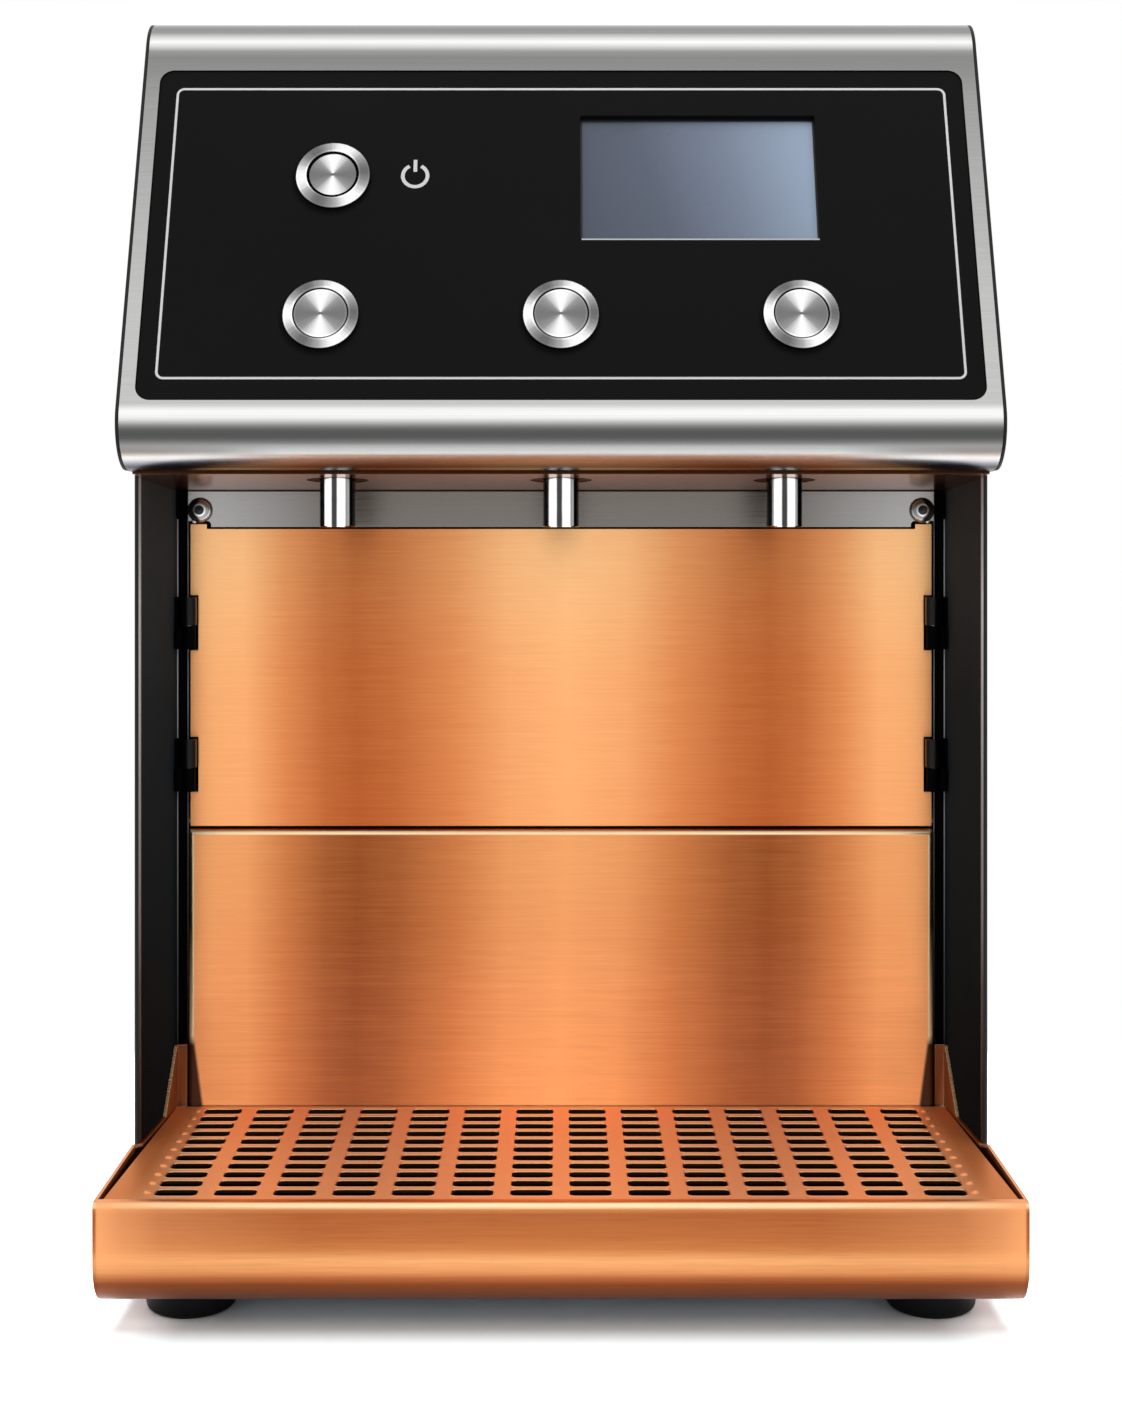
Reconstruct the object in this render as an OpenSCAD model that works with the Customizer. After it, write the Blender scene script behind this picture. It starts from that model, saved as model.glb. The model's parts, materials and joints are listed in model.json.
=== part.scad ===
// Counter-top mulled wine dispenser with three pumped spouts, a leaning button fascia and a drip tray.
// Millimetres, +Z up, front towards -Y, origin on the table under the middle of the machine.

/* [Overall] */
// Width across the head, the side panels and the drip tray
overall_w = 400; // [380:1:440]
// Depth from the drip tray front to the rear edge
overall_d = 480; // [470:1:540]
// Height from the table to the top of the head
overall_h = 595; // [585:1:660]

/* [Head] */
// Height of the underside of the nose above the table
head_z = 375; // [368:1:385]
// Radius of the rounded nose under the fascia
nose_r = 21; // [18:0.5:24]
// Set-back of the nose behind the drip tray front
nose_back = 43; // [36:1:50]
// Lean of the fascia away from upright, in degrees
lean = 20.5; // [18:0.5:23]
// Radius of the top front edge
top_r = 20; // [12:1:24]
// Sheet thickness of the head shell and its cheeks
shell_t = 1.5; // [1.2:0.1:2]
// Drop of the underside plate from its front edge to the splash panel
underside_fall = 6.5; // [5:0.5:8]

/* [Fascia] */
// Width of the steel border on either side of the fascia
fascia_side = 8.5; // [7:0.5:15]
// Height of the fascia along its lean
fascia_h = 172; // [168:1:180]
// Corner radius of the fascia
fascia_r = 6.5; // [4:0.5:9]
// Gap from the nose to the lower edge of the fascia
fascia_gap = 3.5; // [2:0.5:8]
// Depth of the fascia's face below the shell
fascia_sink = 0.7; // [0.4:0.1:1]
// Thickness of the fascia with its rear flange
fascia_t = 3.4; // [2.6:0.2:4]
// Display opening, width
display_w = 111.4; // [100:0.2:116]
// Display opening, height
display_h = 66; // [58:1:68]
// Display centre, to the right of the middle
display_x = 64.8; // [60:0.2:70]
// Height on the fascia of the power button and the display
upper_row = 114.6; // [108:0.2:118]
// Height on the fascia of the three drink buttons
lower_row = 42.3; // [36:0.1:46]

/* [Buttons] */
// Distance between neighbouring drink buttons
button_pitch = 109.8; // [106:0.2:114]
// Distance of the power button to the left of the middle
power_x = 107; // [104:0.5:112]
// Bezel radius
bezel_r = 17.7; // [16.8:0.1:18.5]
// Radius of the cap of a drink button
cap_r = 12.9; // [12:0.1:13.2]
// Radius of the cap of the power button
power_cap_r = 11.75; // [11:0.05:12]
// Radius of the threaded barrel behind the bezel
barrel_r = 15; // [14.6:0.1:15.4]
// Travel of every button
button_travel = 2; // [1:0.1:2.2]

/* [Spouts] */
// Distance between neighbouring spouts
spout_pitch = 105.8; // [102:0.2:108]
// Outer radius of a spout
spout_r = 8.5; // [8:0.1:9]
// Bore radius of a spout
spout_bore_r = 6; // [5:0.1:6.5]
// Height of the spout tips above the table
spout_tip_z = 349; // [348:0.5:352]
// Set-back of the spouts behind the drip tray front
spout_back = 95; // [92:1:98]
// Radius of the dark collar round a spout
collar_r = 14.5; // [13:0.5:16]

/* [Splash panels and sides] */
// Set-back of the upper splash panel behind the drip tray front
splash_back = 150; // [148:1:156]
// Set-back of the side panels' front edge behind the drip tray front
wing_back = 84; // [80:1:88]
// Thickness of the side panels' sheet
side_t = 1.5; // [1.2:0.1:1.8]
// Width of the side panels' rounded front edge
hem_w = 2.8; // [2.4:0.1:3.2]
// Distance that the inner cheek draws in towards the splash panel
cheek_in = 4.2; // [3.5:0.1:4.6]
// Distance of the splash panels' edges from the outer sides
splash_side = 14; // [13:0.5:16]
// Height of the seam between the two splash panels
seam_z = 198; // [190:1:204]
// Thickness of the copper sheet
copper_t = 1.5; // [1.2:0.1:1.6]
// Radius of the lower splash panel's folds
fold_r = 2.5; // [2:0.1:3]
// Height of the spout rail
rail_h = 17.8; // [17:0.1:18.5]
// Radius of a rail screw's head
rail_screw_r = 6.25; // [5.5:0.05:6.3]

/* [Drip tray] */
// Height of the tray rim above the table
rim_z = 61; // [58:0.5:63]
// Height of the tray's lower edge above the table
apron_z = 13; // [12:0.5:14]
// Radius of the tray's rounded lower edge
apron_r = 22; // [20:0.5:23]
// Height of the ears at the rear of the tray
ear_h = 29; // [22:1:30]
// Slots across the grille
slot_cols = 14; // [10:1:14]
// Slots along the grille
slot_rows = 11; // [8:1:11]
// Distance of the slots' field from the outer sides
slot_side = 20.1; // [19:0.1:24]
// Width of the web between the ends of two slots
slot_web = 7.4; // [5:0.1:9]
// Width of a slot
slot_w = 8.4; // [6:0.1:8.5]
// Radius of the corners of a slot
slot_r = 2.4; // [1.5:0.1:2.8]
// Pitch of the slots along the grille
slot_py = 12; // [11:0.1:12.2]

/* [Base] */
// Height of the feet
foot_h = 15.5; // [15:0.1:15.8]
// Top radius of a foot
foot_r = 21.5; // [19:0.5:22]
// Distance of the feet's centres from the outer sides
foot_in = 34; // [32:1:42]
// Thickness of the base plate
base_t = 2; // [1.5:0.1:2.2]

/* [Hinges] */
// Radius of a hinge knuckle
knuckle_r = 3.4; // [3.2:0.1:3.6]
// Radius of a hinge pin
pin_r = 1.5; // [1.2:0.1:1.6]
// Height of one hinge
hinge_h = 26; // [24:1:28]
// Height of the lower hinges above the seam
hinge_low = 19; // [16:1:24]
// Height of the upper hinges above the seam
hinge_high = 90; // [84:1:94]

/* [Inside] */
// Radius of the heater vessel
heater_r = 55; // [50:1:56]
// Half length of the heater vessel
heater_half = 150; // [145:1:155]
// Height of the heater vessel's axis above the underside of the nose
heater_up = 70; // [66:1:80]
// Radius of a pump head
pump_r = 30; // [28:1:31]
// Height of the pumps' axis above the table
pump_z = 250; // [246:1:260]
// Outer radius of the hoses
hose_r = 7; // [6.6:0.1:7.4]
// Radius of the hose tails
tail_r = 5; // [4.6:0.1:5.2]
// Bore radius of the hose tails
tail_bore_r = 3; // [2.4:0.1:3.2]

/* [Hidden] */
$fn = 48;
// Gap between pieces of different bodies
gap = 0.3;
// Gap between fixed pieces that seat on each other
seat = 0.1;
half_w = overall_w / 2;
fascia_w = overall_w - 2 * fascia_side;
splash_half = half_w - splash_side;
slot_px = (overall_w - 2 * slot_side) / slot_cols;
slot_l = slot_px - slot_web;
foot_x = half_w - foot_in;
front_y = -overall_d / 2;
back_y = overall_d / 2;

// Head profile in the Y-Z plane
nose_y = front_y + nose_back + nose_r;
nose_z = head_z + nose_r;
crown_z = overall_h - top_r;
crown_y = nose_y + (sin(lean) * (crown_z - nose_z) - (nose_r - top_r)) / cos(lean);
fascia_y = nose_y - nose_r * cos(lean) + fascia_gap * sin(lean);
fascia_z = nose_z + nose_r * sin(lean) + fascia_gap * cos(lean);
fascia_lip = 4;
shell_half = half_w - shell_t;
shell_foot = 12;

// Side panels, splash panels and the underside plate
wing_y = front_y + wing_back;
splash_y = front_y + splash_back;
flange_y = splash_y + copper_t + 1;
hem_r = hem_w / 2;
cheek_front_x = half_w - hem_w;
cheek_front_y = wing_y + hem_r;
cheek_slope = cheek_in / (flange_y + side_t - cheek_front_y);
function cheek_x(y) = cheek_front_x - (y - cheek_front_y) * cheek_slope;
flange_x = splash_half + 1;
side_z = apron_z + 1;
plate_front_y = nose_y + 2;
plate_rear_y = flange_y - 0.6;
plate_front_z = head_z - seat - shell_t;
plate_rear_z = plate_front_z - underside_fall;
function plate_z(y) = plate_front_z - underside_fall * (y - plate_front_y) / (plate_rear_y - plate_front_y);
rear_y = back_y - 28;
rear_t = 1.5;

// Spout rail and its carrier behind it
rail_t = 2.5;
rail_y = splash_y - 0.5 - rail_t;
rail_top = plate_rear_z - seat;
rail_z = rail_top - rail_h;
ear_l = 11.5;
ear_rise = 3;
rail_half = splash_half + 0.5;
rail_screw_x = rail_half - 6.1;
rail_screw_z = rail_top - 9.3;
carrier_z = rail_z + ear_rise + 1;

// Upper splash panel, a door on the left hinges
door_z = seam_z + 1;
door_top = rail_z - 0.8;
door_tab = 2.4;
axis_x = splash_half;
axis_y = splash_y - 4;
knuckle_gap = 0.3;
frame_knuckle_h = hinge_h * 0.45;
notch_x = axis_x - knuckle_r - 0.5;
hinge_zs = [seam_z + hinge_low, seam_z + hinge_high];

// Lower splash panel
lower_y = splash_y - 3;
lower_half = splash_half + 0.5;
lower_top = seam_z - 0.5;
lower_bottom = rim_z - 1.5;

// Base plate and feet
base_top = foot_h + base_t;
base_front_y = front_y + apron_r + 2.5;
foot_front_y = base_front_y + foot_r + 0.5;
foot_rear_y = rear_y - 40;

// Drip tray and grille
tray_t = 1.5;
floor_z = base_top + gap;
jog_y = wing_y - 1.5;
jog_l = 2.5;
tray_rear_y = lower_y - 2;
tray_end_y = flange_y - 3.5;
function tray_x(y) = cheek_x(y) - 0.4;
lip_l = 4.5;
grille_top = rim_z - 1;
grille_t = 1.5;
grille_gap = 0.5;
ledge_w = 6;
grille_front_y = front_y + lip_l + grille_gap;
grille_rear_y = tray_rear_y - tray_t - grille_gap;
slots_mid_y = (grille_front_y + grille_rear_y) / 2 + 2;

// Spouts
spout_y = front_y + spout_back;
spout_xs = [-spout_pitch, 0, spout_pitch];
seat_z = head_z + 5;
seat_t = 2;
neck_r = 6;
neck_z = seat_z + seat_t + 8;
tail_l = 12;
spout_top = neck_z + tail_l;
carrier_half = spout_pitch + 30;

// Heater, pumps and hoses
heater_z = head_z + heater_up;
heater_wall = 1.5;
port_l = 15;
heater_shelf_z = head_z + 1;
heater_shelf_t = 2;
shelf_reach = 50;
saddle_in = 50;
saddle_t = 12;
saddle_reach = 35;
fitting_l = 18;
fitting_in = rear_y - rear_t - fitting_l;
supply_l = 37.5;
bend_out = 30;
bend_feed = 20;
pump_y = fitting_in - supply_l - port_l - pump_r;
heater_y = pump_y - bend_feed - port_l - heater_r;
pump_half = 14;
motor_r = 20;
motor_l = 54;
rotor_r = 20;
cavity_r = 24;
shelf_z = seam_z + 2;
shelf_t = 2;
hose_bore_r = tail_r + seat;
cap_t = 4;
element_r = 4;
element_up = 18;
element_in = 50;
terminal_l = 18;
sensor_l = 20;
inlet_tail = 24;

// Buttons: heights are along the fascia's outward normal, from the shell's face
bezel_z = -fascia_sink;
cap_top = 1.3;
cap_bottom = -4;
barrel_end = -18;
stem_end = -19.5;
switch_end = -28;
ring_gap = 0.25;
bore_r = cap_r + ring_gap;
display_t = 9;
button_spots = [
  [-power_x, upper_row, power_cap_r],
  [-button_pitch, lower_row, cap_r],
  [0, lower_row, cap_r],
  [button_pitch, lower_row, cap_r]
];

// Rear panel, mains inlet and control board
vent_l = 120;
vent_w = 6;
vent_pitch = 15;
vent_rows = 8;
vent_z = head_z + 60;
vent_x = 85;
inlet_hole_r = 9;
mains_in = 60;
mains_x = half_w - mains_in;
mains_z = 110;
mains_w = 28;
mains_h = 21;
rear_half = half_w - side_t - 0.2;
rear_top = overall_h - shell_t - 0.2;
rear_xs = [-rear_half + 10, rear_half - 10];
rear_zs = [base_top + 25, seam_z - 33, head_z - 55, rear_top - 20];
rear_spots = [for (x = rear_xs, z = rear_zs) [x, z]];
board_z = -36;
board_x0 = -70;
board_x1 = 130;
board_y0 = 72;
board_y1 = 165;

// Helpers

// Box between two opposite corners
module block(lo, hi) {
  translate(lo) cube(hi - lo);
}

// Extrudes a Y-Z outline from x0 to x1
module prism_x(x0, x1) {
  translate([x0, 0, 0]) rotate([90, 0, 90]) linear_extrude(x1 - x0) children();
}

// Extrudes an X-Y outline from z0 to z1
module prism_z(z0, z1) {
  translate([0, 0, z0]) linear_extrude(z1 - z0) children();
}

// A piece on the right and its mirror image on the left
module both() {
  children();
  mirror([1, 0, 0]) children();
}

// Cylinder along X, Y or Z between two heights on that axis
module rod_x(x0, x1, y, z, r) {
  translate([x0, y, z]) rotate([0, 90, 0]) cylinder(h = x1 - x0, r = r);
}

module rod_y(x, y0, y1, z, r) {
  translate([x, y1, z]) rotate([90, 0, 0]) cylinder(h = y1 - y0, r = r);
}

module rod_z(x, y, z0, z1, r) {
  translate([x, y, z0]) cylinder(h = z1 - z0, r = r);
}

// Rounded rectangle about the origin
module rounded(w, h, r) {
  square([w - 2 * r, h], center = true);
  square([w, h - 2 * r], center = true);
  for (sx = [-1, 1], sy = [-1, 1]) translate([sx * (w / 2 - r), sy * (h / 2 - r)]) circle(r);
}

// Stadium about the origin, long in x
module stadium(l, w) {
  square([l - w, w], center = true);
  for (s = [-1, 1]) translate([s * (l - w) / 2, 0]) circle(w / 2);
}

// Fascia frame: x to the right, y up the lean from the fascia's lower edge, z outwards
module on_fascia() {
  translate([0, fascia_y, fascia_z]) rotate([90 - lean, 0, 0]) children();
}

// Cutter that rounds a corner of the head profile about the origin, up to one tangent point and the lean
module round_off(r, corner, tangent) {
  difference() {
    polygon([[0, 0], 2 * tangent, 2 * corner, 2 * r * [-cos(lean), sin(lean)]]);
    circle(r + 0.01);
  }
}

// Filled head profile, drawn in by a sheet thickness, ended at a rear edge
module head_outline(inset, rear) {
  rn = nose_r - inset;
  rt = top_r - inset;
  nose_l = rn * (1 + sin(lean)) / cos(lean);
  crown_l = rt * (1 - sin(lean)) / cos(lean);
  difference() {
    polygon([
      [nose_y - nose_l, nose_z - rn],
      [crown_y - crown_l, crown_z + rt],
      [rear, crown_z + rt],
      [rear, nose_z - rn]
    ]);
    translate([nose_y, nose_z]) round_off(rn, [-nose_l, -rn], [0, -rn]);
    translate([crown_y, crown_z]) round_off(rt, [-crown_l, rt], [0, rt]);
  }
}

// Outline of the tray in plan, drawn in by a sheet thickness
module tray_plan(inset) {
  polygon([
    for (s = [1, -1]) each [
      for (k = s > 0 ? [0, 1, 2, 3] : [3, 2, 1, 0])
        k == 0 ? [s * (half_w - inset), front_y - 1]
        : k == 1 ? [s * (half_w - inset), jog_y - jog_l - inset / 2]
        : k == 2 ? [s * (tray_x(jog_y) - inset), jog_y - inset / 2]
        : [s * (tray_x(tray_end_y) - inset), tray_end_y]
    ]
  ]);
}

// Filled front of the tray in profile, drawn in by a sheet thickness
module apron_outline(inset) {
  rb = apron_r - inset;
  rt = 2.5 - inset;
  y = front_y + inset;
  translate([y + rb, apron_z + inset + rb]) circle(rb);
  translate([y + rt, rim_z - inset - rt]) circle(rt);
  translate([y, apron_z + inset + rb]) square([rb, rim_z - apron_z - 2 * inset - rb - rt]);
  translate([y + rt, apron_z + inset + rb]) square([rb + 2 - rt, rim_z - apron_z - 2 * inset - rb]);
  translate([y + rb, apron_z + inset]) square([2, rb + 1]);
}

// Round hose: up from z0, round a bend and along Y to y1 at height z1
module elbow_run(x, y0, z0, y1, z1, bend, r) {
  way = y1 > y0 ? 1 : -1;
  rod_z(x, y0, z0, z1 - bend, r);
  multmatrix([[0, 0, -way, x], [-way, 0, 0, y0 + way * bend], [0, 1, 0, z1 - bend], [0, 0, 0, 1]])
    rotate_extrude(angle = 90) translate([bend, 0]) circle(r);
  rod_y(x, min(y0 + way * bend, y1), max(y0 + way * bend, y1), z1, r);
}

module elbow_hose(x, y0, z0, y1, z1, bend) {
  way = y1 > y0 ? 1 : -1;
  difference() {
    elbow_run(x, y0, z0, y1, z1, bend, hose_r);
    elbow_run(x, y0, z0 - 1, y1 + way, z1, bend, hose_bore_r);
  }
}

// Wound spring from z1 down to z0 as one closed tube
module coil(radius, wire, z0, z1, turns) {
  sides = 6;
  steps = 10 * turns;
  function ring(i) = [
    for (k = [0 : sides - 1])
      let (a = 360 * turns * i / steps, b = 360 * k / sides, q = radius + wire * cos(b))
        [q * cos(a), q * sin(a), z0 + wire + (z1 - z0 - 2 * wire) * i / steps + wire * sin(b)]
  ];
  points = [for (i = [0 : steps]) each ring(i)];
  walls = [
    for (i = [0 : steps - 1], k = [0 : sides - 1])
      let (p = i * sides + k, q = i * sides + (k + 1) % sides)
        each [[p, p + sides, q], [q, p + sides, q + sides]]
  ];
  ends = [
    for (k = [1 : sides - 2]) each [
      [0, k, k + 1],
      [steps * sides, steps * sides + k + 1, steps * sides + k]
    ]
  ];
  polyhedron(points, concat(walls, ends));
}

// Base, feet and outer panels

module base_plate() {
  color("dimgray") difference() {
    prism_z(foot_h, base_top) polygon([
      [-(flange_x - seat), base_front_y],
      [flange_x - seat, base_front_y],
      [flange_x - seat, flange_y + side_t + seat],
      [half_w - side_t - seat, flange_y + side_t + seat],
      [half_w - side_t - seat, rear_y - rear_t - seat],
      [-(half_w - side_t - seat), rear_y - rear_t - seat],
      [-(half_w - side_t - seat), flange_y + side_t + seat],
      [-(flange_x - seat), flange_y + side_t + seat]
    ]);
    for (x = [-foot_x, foot_x], y = [foot_front_y, foot_rear_y]) rod_z(x, y, 0, base_top + 1, 2.7);
  }
}

module rubber_feet() {
  color("black") for (x = [-foot_x, foot_x], y = [foot_front_y, foot_rear_y]) translate([x, y, 0])
    difference() {
      rotate_extrude() polygon([
        [0, 0],
        [foot_r - 3.2, 0],
        [foot_r - 1.6, 1.6],
        [foot_r, foot_h],
        [0, foot_h]
      ]);
      translate([0, 0, -1]) cylinder(h = 8, r = 6);
      cylinder(h = foot_h + 1, r = 2.7);
    }
}

module foot_screws() {
  color("silver") for (x = [-foot_x, foot_x], y = [foot_front_y, foot_rear_y]) {
    rod_z(x, y, 3.5, 7, 5);
    rod_z(x, y, 6.9, base_top, 2.6);
  }
}

module side_panel() {
  prism_z(side_z, head_z - seat) {
    translate([half_w - side_t, cheek_front_y]) square([side_t, back_y - cheek_front_y]);
    translate([half_w - hem_r, cheek_front_y]) circle(hem_r);
    polygon([
      [cheek_front_x, cheek_front_y],
      [cheek_front_x + side_t, cheek_front_y],
      [cheek_x(flange_y + side_t) + side_t, flange_y + side_t],
      [cheek_x(flange_y + side_t), flange_y + side_t]
    ]);
    translate([flange_x, flange_y]) square([cheek_x(flange_y) + side_t / 2 - flange_x, side_t]);
  }
}

module right_side_panel() {
  color([0.12, 0.12, 0.12]) side_panel();
}

module left_side_panel() {
  color([0.12, 0.12, 0.12]) mirror([1, 0, 0]) side_panel();
}

module rear_panel() {
  color([0.15, 0.15, 0.15]) difference() {
    block([-rear_half, rear_y - rear_t, base_top - base_t], [rear_half, rear_y, rear_top]);
    for (x = [-vent_x, vent_x], k = [0 : vent_rows - 1])
      translate([x, rear_y + 1, vent_z + k * vent_pitch]) rotate([90, 0, 0])
        linear_extrude(rear_t + 2) stadium(vent_l, vent_w);
    for (x = spout_xs) rod_y(x, rear_y - rear_t - 1, rear_y + 1, pump_z, inlet_hole_r + seat);
    block(
      [mains_x - mains_w / 2 - seat, rear_y - rear_t - 1, mains_z - mains_h / 2 - seat],
      [mains_x + mains_w / 2 + seat, rear_y + 1, mains_z + mains_h / 2 + seat]
    );
    for (p = rear_spots) rod_y(p[0], rear_y - rear_t - 1, rear_y + 1, p[1], 2.1);
  }
}

module rear_screws() {
  color("silver") for (p = rear_spots) {
    rod_y(p[0], rear_y, rear_y + 2.4, p[1], 4);
    rod_y(p[0], rear_y - 8, rear_y + 0.1, p[1], 2);
  }
}

// Head

module head_shell() {
  color("lightgray") difference() {
    prism_x(-shell_half, shell_half) difference() {
      head_outline(0, back_y);
      head_outline(shell_t, back_y + 1);
      translate([nose_y + shell_foot, head_z - 1]) square([overall_d, shell_t + 2]);
    }
    on_fascia() translate([0, fascia_h / 2, -6]) linear_extrude(12)
      rounded(fascia_w + 2 * gap, fascia_h + 2 * gap, fascia_r + gap);
  }
}

module left_head_cheek() {
  color([0.2, 0.2, 0.2]) prism_x(-half_w, -shell_half) head_outline(0, back_y);
}

module right_head_cheek() {
  color([0.2, 0.2, 0.2]) prism_x(shell_half, half_w) head_outline(0, back_y);
}

module underside_plate() {
  color("lightgray") difference() {
    intersection() {
      prism_x(-half_w, half_w) polygon([
        [plate_front_y, plate_front_z],
        [plate_rear_y, plate_rear_z],
        [plate_rear_y, plate_rear_z + shell_t],
        [plate_front_y, plate_front_z + shell_t]
      ]);
      prism_z(plate_rear_z - 5, head_z + 5) polygon([
        for (s = [1, -1]) each [
          for (k = s > 0 ? [0, 1, 2] : [2, 1, 0])
            k == 0 ? [s * (cheek_front_x - 0.2), plate_front_y]
            : k == 1 ? [s * (cheek_front_x - 0.2), cheek_front_y]
            : [s * (cheek_x(plate_rear_y) - 0.2), plate_rear_y]
        ]
      ]);
    }
    for (x = spout_xs) rod_z(x, spout_y, plate_rear_z - 5, head_z + 5, collar_r + seat);
  }
}

// Fascia, display and buttons

module fascia_panel() {
  color([0.1, 0.1, 0.1]) on_fascia() difference() {
    translate([0, fascia_h / 2, 0]) union() {
      translate([0, 0, -fascia_sink - fascia_t]) linear_extrude(fascia_t)
        rounded(fascia_w, fascia_h, fascia_r);
      translate([0, 0, -fascia_sink - fascia_t]) linear_extrude(fascia_t + fascia_sink - shell_t - seat)
        rounded(fascia_w + 2 * fascia_lip, fascia_h + 2 * 2.5, fascia_r + 2);
    }
    translate([display_x, upper_row, -10]) linear_extrude(20) rounded(display_w, display_h, 1);
    for (b = button_spots) translate([b[0], b[1], -10]) cylinder(h = 20, r = barrel_r + seat);
  }
}

module display_module() {
  color("slategray") on_fascia() translate([display_x, upper_row, -fascia_sink - fascia_t - seat - display_t])
    linear_extrude(display_t) rounded(display_w + 7, display_h + 7, 1.5);
}

module button_cap(spot) {
  r = spot[2];
  on_fascia() translate([spot[0], spot[1], 0]) rotate_extrude() polygon([
    [0, stem_end],
    [4, stem_end],
    [4, cap_bottom],
    [r, cap_bottom],
    [r, cap_top - 0.5],
    [r - 0.5, cap_top],
    [0, cap_top]
  ]);
}

module button_spring(spot) {
  on_fascia() translate([spot[0], spot[1], 0])
    coil(7, 0.6, barrel_end + 2 + button_travel + gap, cap_bottom, 4);
}

module power_button() {
  color("silver") button_cap(button_spots[0]);
}

module left_button() {
  color("silver") button_cap(button_spots[1]);
}

module centre_button() {
  color("silver") button_cap(button_spots[2]);
}

module right_button() {
  color("silver") button_cap(button_spots[3]);
}

module power_spring() {
  color("gray") button_spring(button_spots[0]);
}

module left_spring() {
  color("gray") button_spring(button_spots[1]);
}

module centre_spring() {
  color("gray") button_spring(button_spots[2]);
}

module right_spring() {
  color("gray") button_spring(button_spots[3]);
}

module button_bezels() {
  color("gainsboro") on_fascia() for (b = button_spots) translate([b[0], b[1], 0]) rotate_extrude() polygon([
    [bore_r, 1.3],
    [bore_r + 0.7, 1.9],
    [bezel_r - 1.1, 1.5],
    [bezel_r, 0.4],
    [bezel_r, bezel_z],
    [barrel_r, bezel_z],
    [barrel_r, barrel_end],
    [5.5, barrel_end],
    [5.5, barrel_end + 2],
    [bore_r, barrel_end + 2]
  ]);
}

module power_ring() {
  color("black") on_fascia() translate([-power_x, upper_row, 0]) rotate_extrude() polygon([
    [power_cap_r + ring_gap, cap_bottom],
    [bore_r - 0.05, cap_bottom],
    [bore_r - 0.05, 0.7],
    [power_cap_r + ring_gap, 0.7]
  ]);
}

module button_nuts() {
  color("gray") on_fascia() for (b = button_spots)
    translate([b[0], b[1], -fascia_sink - fascia_t - seat - 6]) difference() {
      cylinder(h = 6, r = 20.5, $fn = 6);
      translate([0, 0, -1]) cylinder(h = 8, r = barrel_r + seat / 2);
    }
}

module switch_bodies() {
  color([0.15, 0.15, 0.2]) on_fascia() for (b = button_spots) translate([b[0], b[1], 0]) difference() {
    translate([0, 0, switch_end]) cylinder(h = barrel_end - seat - switch_end, r = 11);
    translate([0, 0, stem_end - button_travel - 1]) cylinder(h = 10, r = 4.6);
  }
}

// Spouts

module spout(x) {
  translate([x, spout_y, 0]) rotate_extrude() polygon([
    [spout_bore_r, spout_tip_z],
    [spout_r - 0.6, spout_tip_z],
    [spout_r, spout_tip_z + 0.6],
    [spout_r, seat_z - seat],
    [neck_r, seat_z - seat],
    [neck_r, neck_z],
    [tail_r, neck_z],
    [tail_r, spout_top],
    [tail_bore_r, spout_top],
    [tail_bore_r, seat_z - 8],
    [spout_bore_r, seat_z - 12]
  ]);
}

module left_spout() {
  color("silver") spout(spout_xs[0]);
}

module centre_spout() {
  color("silver") spout(spout_xs[1]);
}

module right_spout() {
  color("silver") spout(spout_xs[2]);
}

module spout_carrier() {
  y0 = spout_y - collar_r - 3;
  y1 = spout_y + collar_r + 3;
  color("gray") difference() {
    union() {
      block([-carrier_half, y0, seat_z], [carrier_half, y1, seat_z + seat_t]);
      prism_x(-carrier_half, carrier_half) {
        polygon([
          [y0, plate_z(y0) + shell_t + seat],
          [y0 + 1.5, plate_z(y0) + shell_t + seat],
          [y0 + 1.5, seat_z + 0.5],
          [y0, seat_z + 0.5]
        ]);
        polygon([
          [y1 - 1.5, plate_z(y1 - 1.5) + shell_t + seat],
          [y1, plate_z(y1 - 1.5) + shell_t + seat],
          [y1, seat_z + 0.5],
          [y1 - 1.5, seat_z + 0.5]
        ]);
      }
    }
    for (x = spout_xs) rod_z(x, spout_y, seat_z - 1, seat_z + seat_t + 1, neck_r + seat);
  }
}

module spout_nuts() {
  color("silver") for (x = spout_xs) translate([x, spout_y, seat_z + seat_t]) difference() {
    cylinder(h = 6, r = 10.5, $fn = 6);
    translate([0, 0, -1]) cylinder(h = 8, r = neck_r + seat / 2);
  }
}

module spout_collars() {
  color("black") for (x = spout_xs) difference() {
    intersection() {
      rod_z(x, spout_y, plate_rear_z, head_z + 4, collar_r);
      prism_x(x - collar_r - 1, x + collar_r + 1) polygon([
        [plate_front_y, plate_front_z + 0.4],
        [plate_rear_y, plate_rear_z + 0.4],
        [plate_rear_y, plate_rear_z + 3],
        [plate_front_y, plate_front_z + 3]
      ]);
    }
    rod_z(x, spout_y, plate_rear_z - 5, head_z + 5, spout_r + seat);
  }
}

module spout_rail() {
  color("lightgray") difference() {
    block([-rail_half, rail_y, rail_z], [rail_half, rail_y + rail_t, rail_top]);
    both() {
      block(
        [rail_half - ear_l + 2, rail_y - 1, rail_z - 1],
        [rail_half + 1, rail_y + rail_t + 1, rail_z + ear_rise]
      );
      block(
        [rail_half - ear_l, rail_y - 1, rail_z - 1],
        [rail_half - ear_l + 2.1, rail_y + rail_t + 1, rail_z + ear_rise - 2]
      );
      rod_y(rail_half - ear_l + 2, rail_y - 1, rail_y + rail_t + 1, rail_z + ear_rise - 2, 2);
      rod_y(rail_screw_x, rail_y - 1, rail_y + rail_t + 1, rail_screw_z, 3.1);
    }
  }
}

module rail_carrier() {
  color("dimgray") difference() {
    block(
      [-cheek_x(flange_y) + 0.6, rail_y + rail_t + seat, carrier_z],
      [cheek_x(flange_y) - 0.6, flange_y - seat, rail_top]
    );
    both() rod_y(rail_screw_x, rail_y, flange_y + 1, rail_screw_z, 3.1);
  }
}

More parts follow.
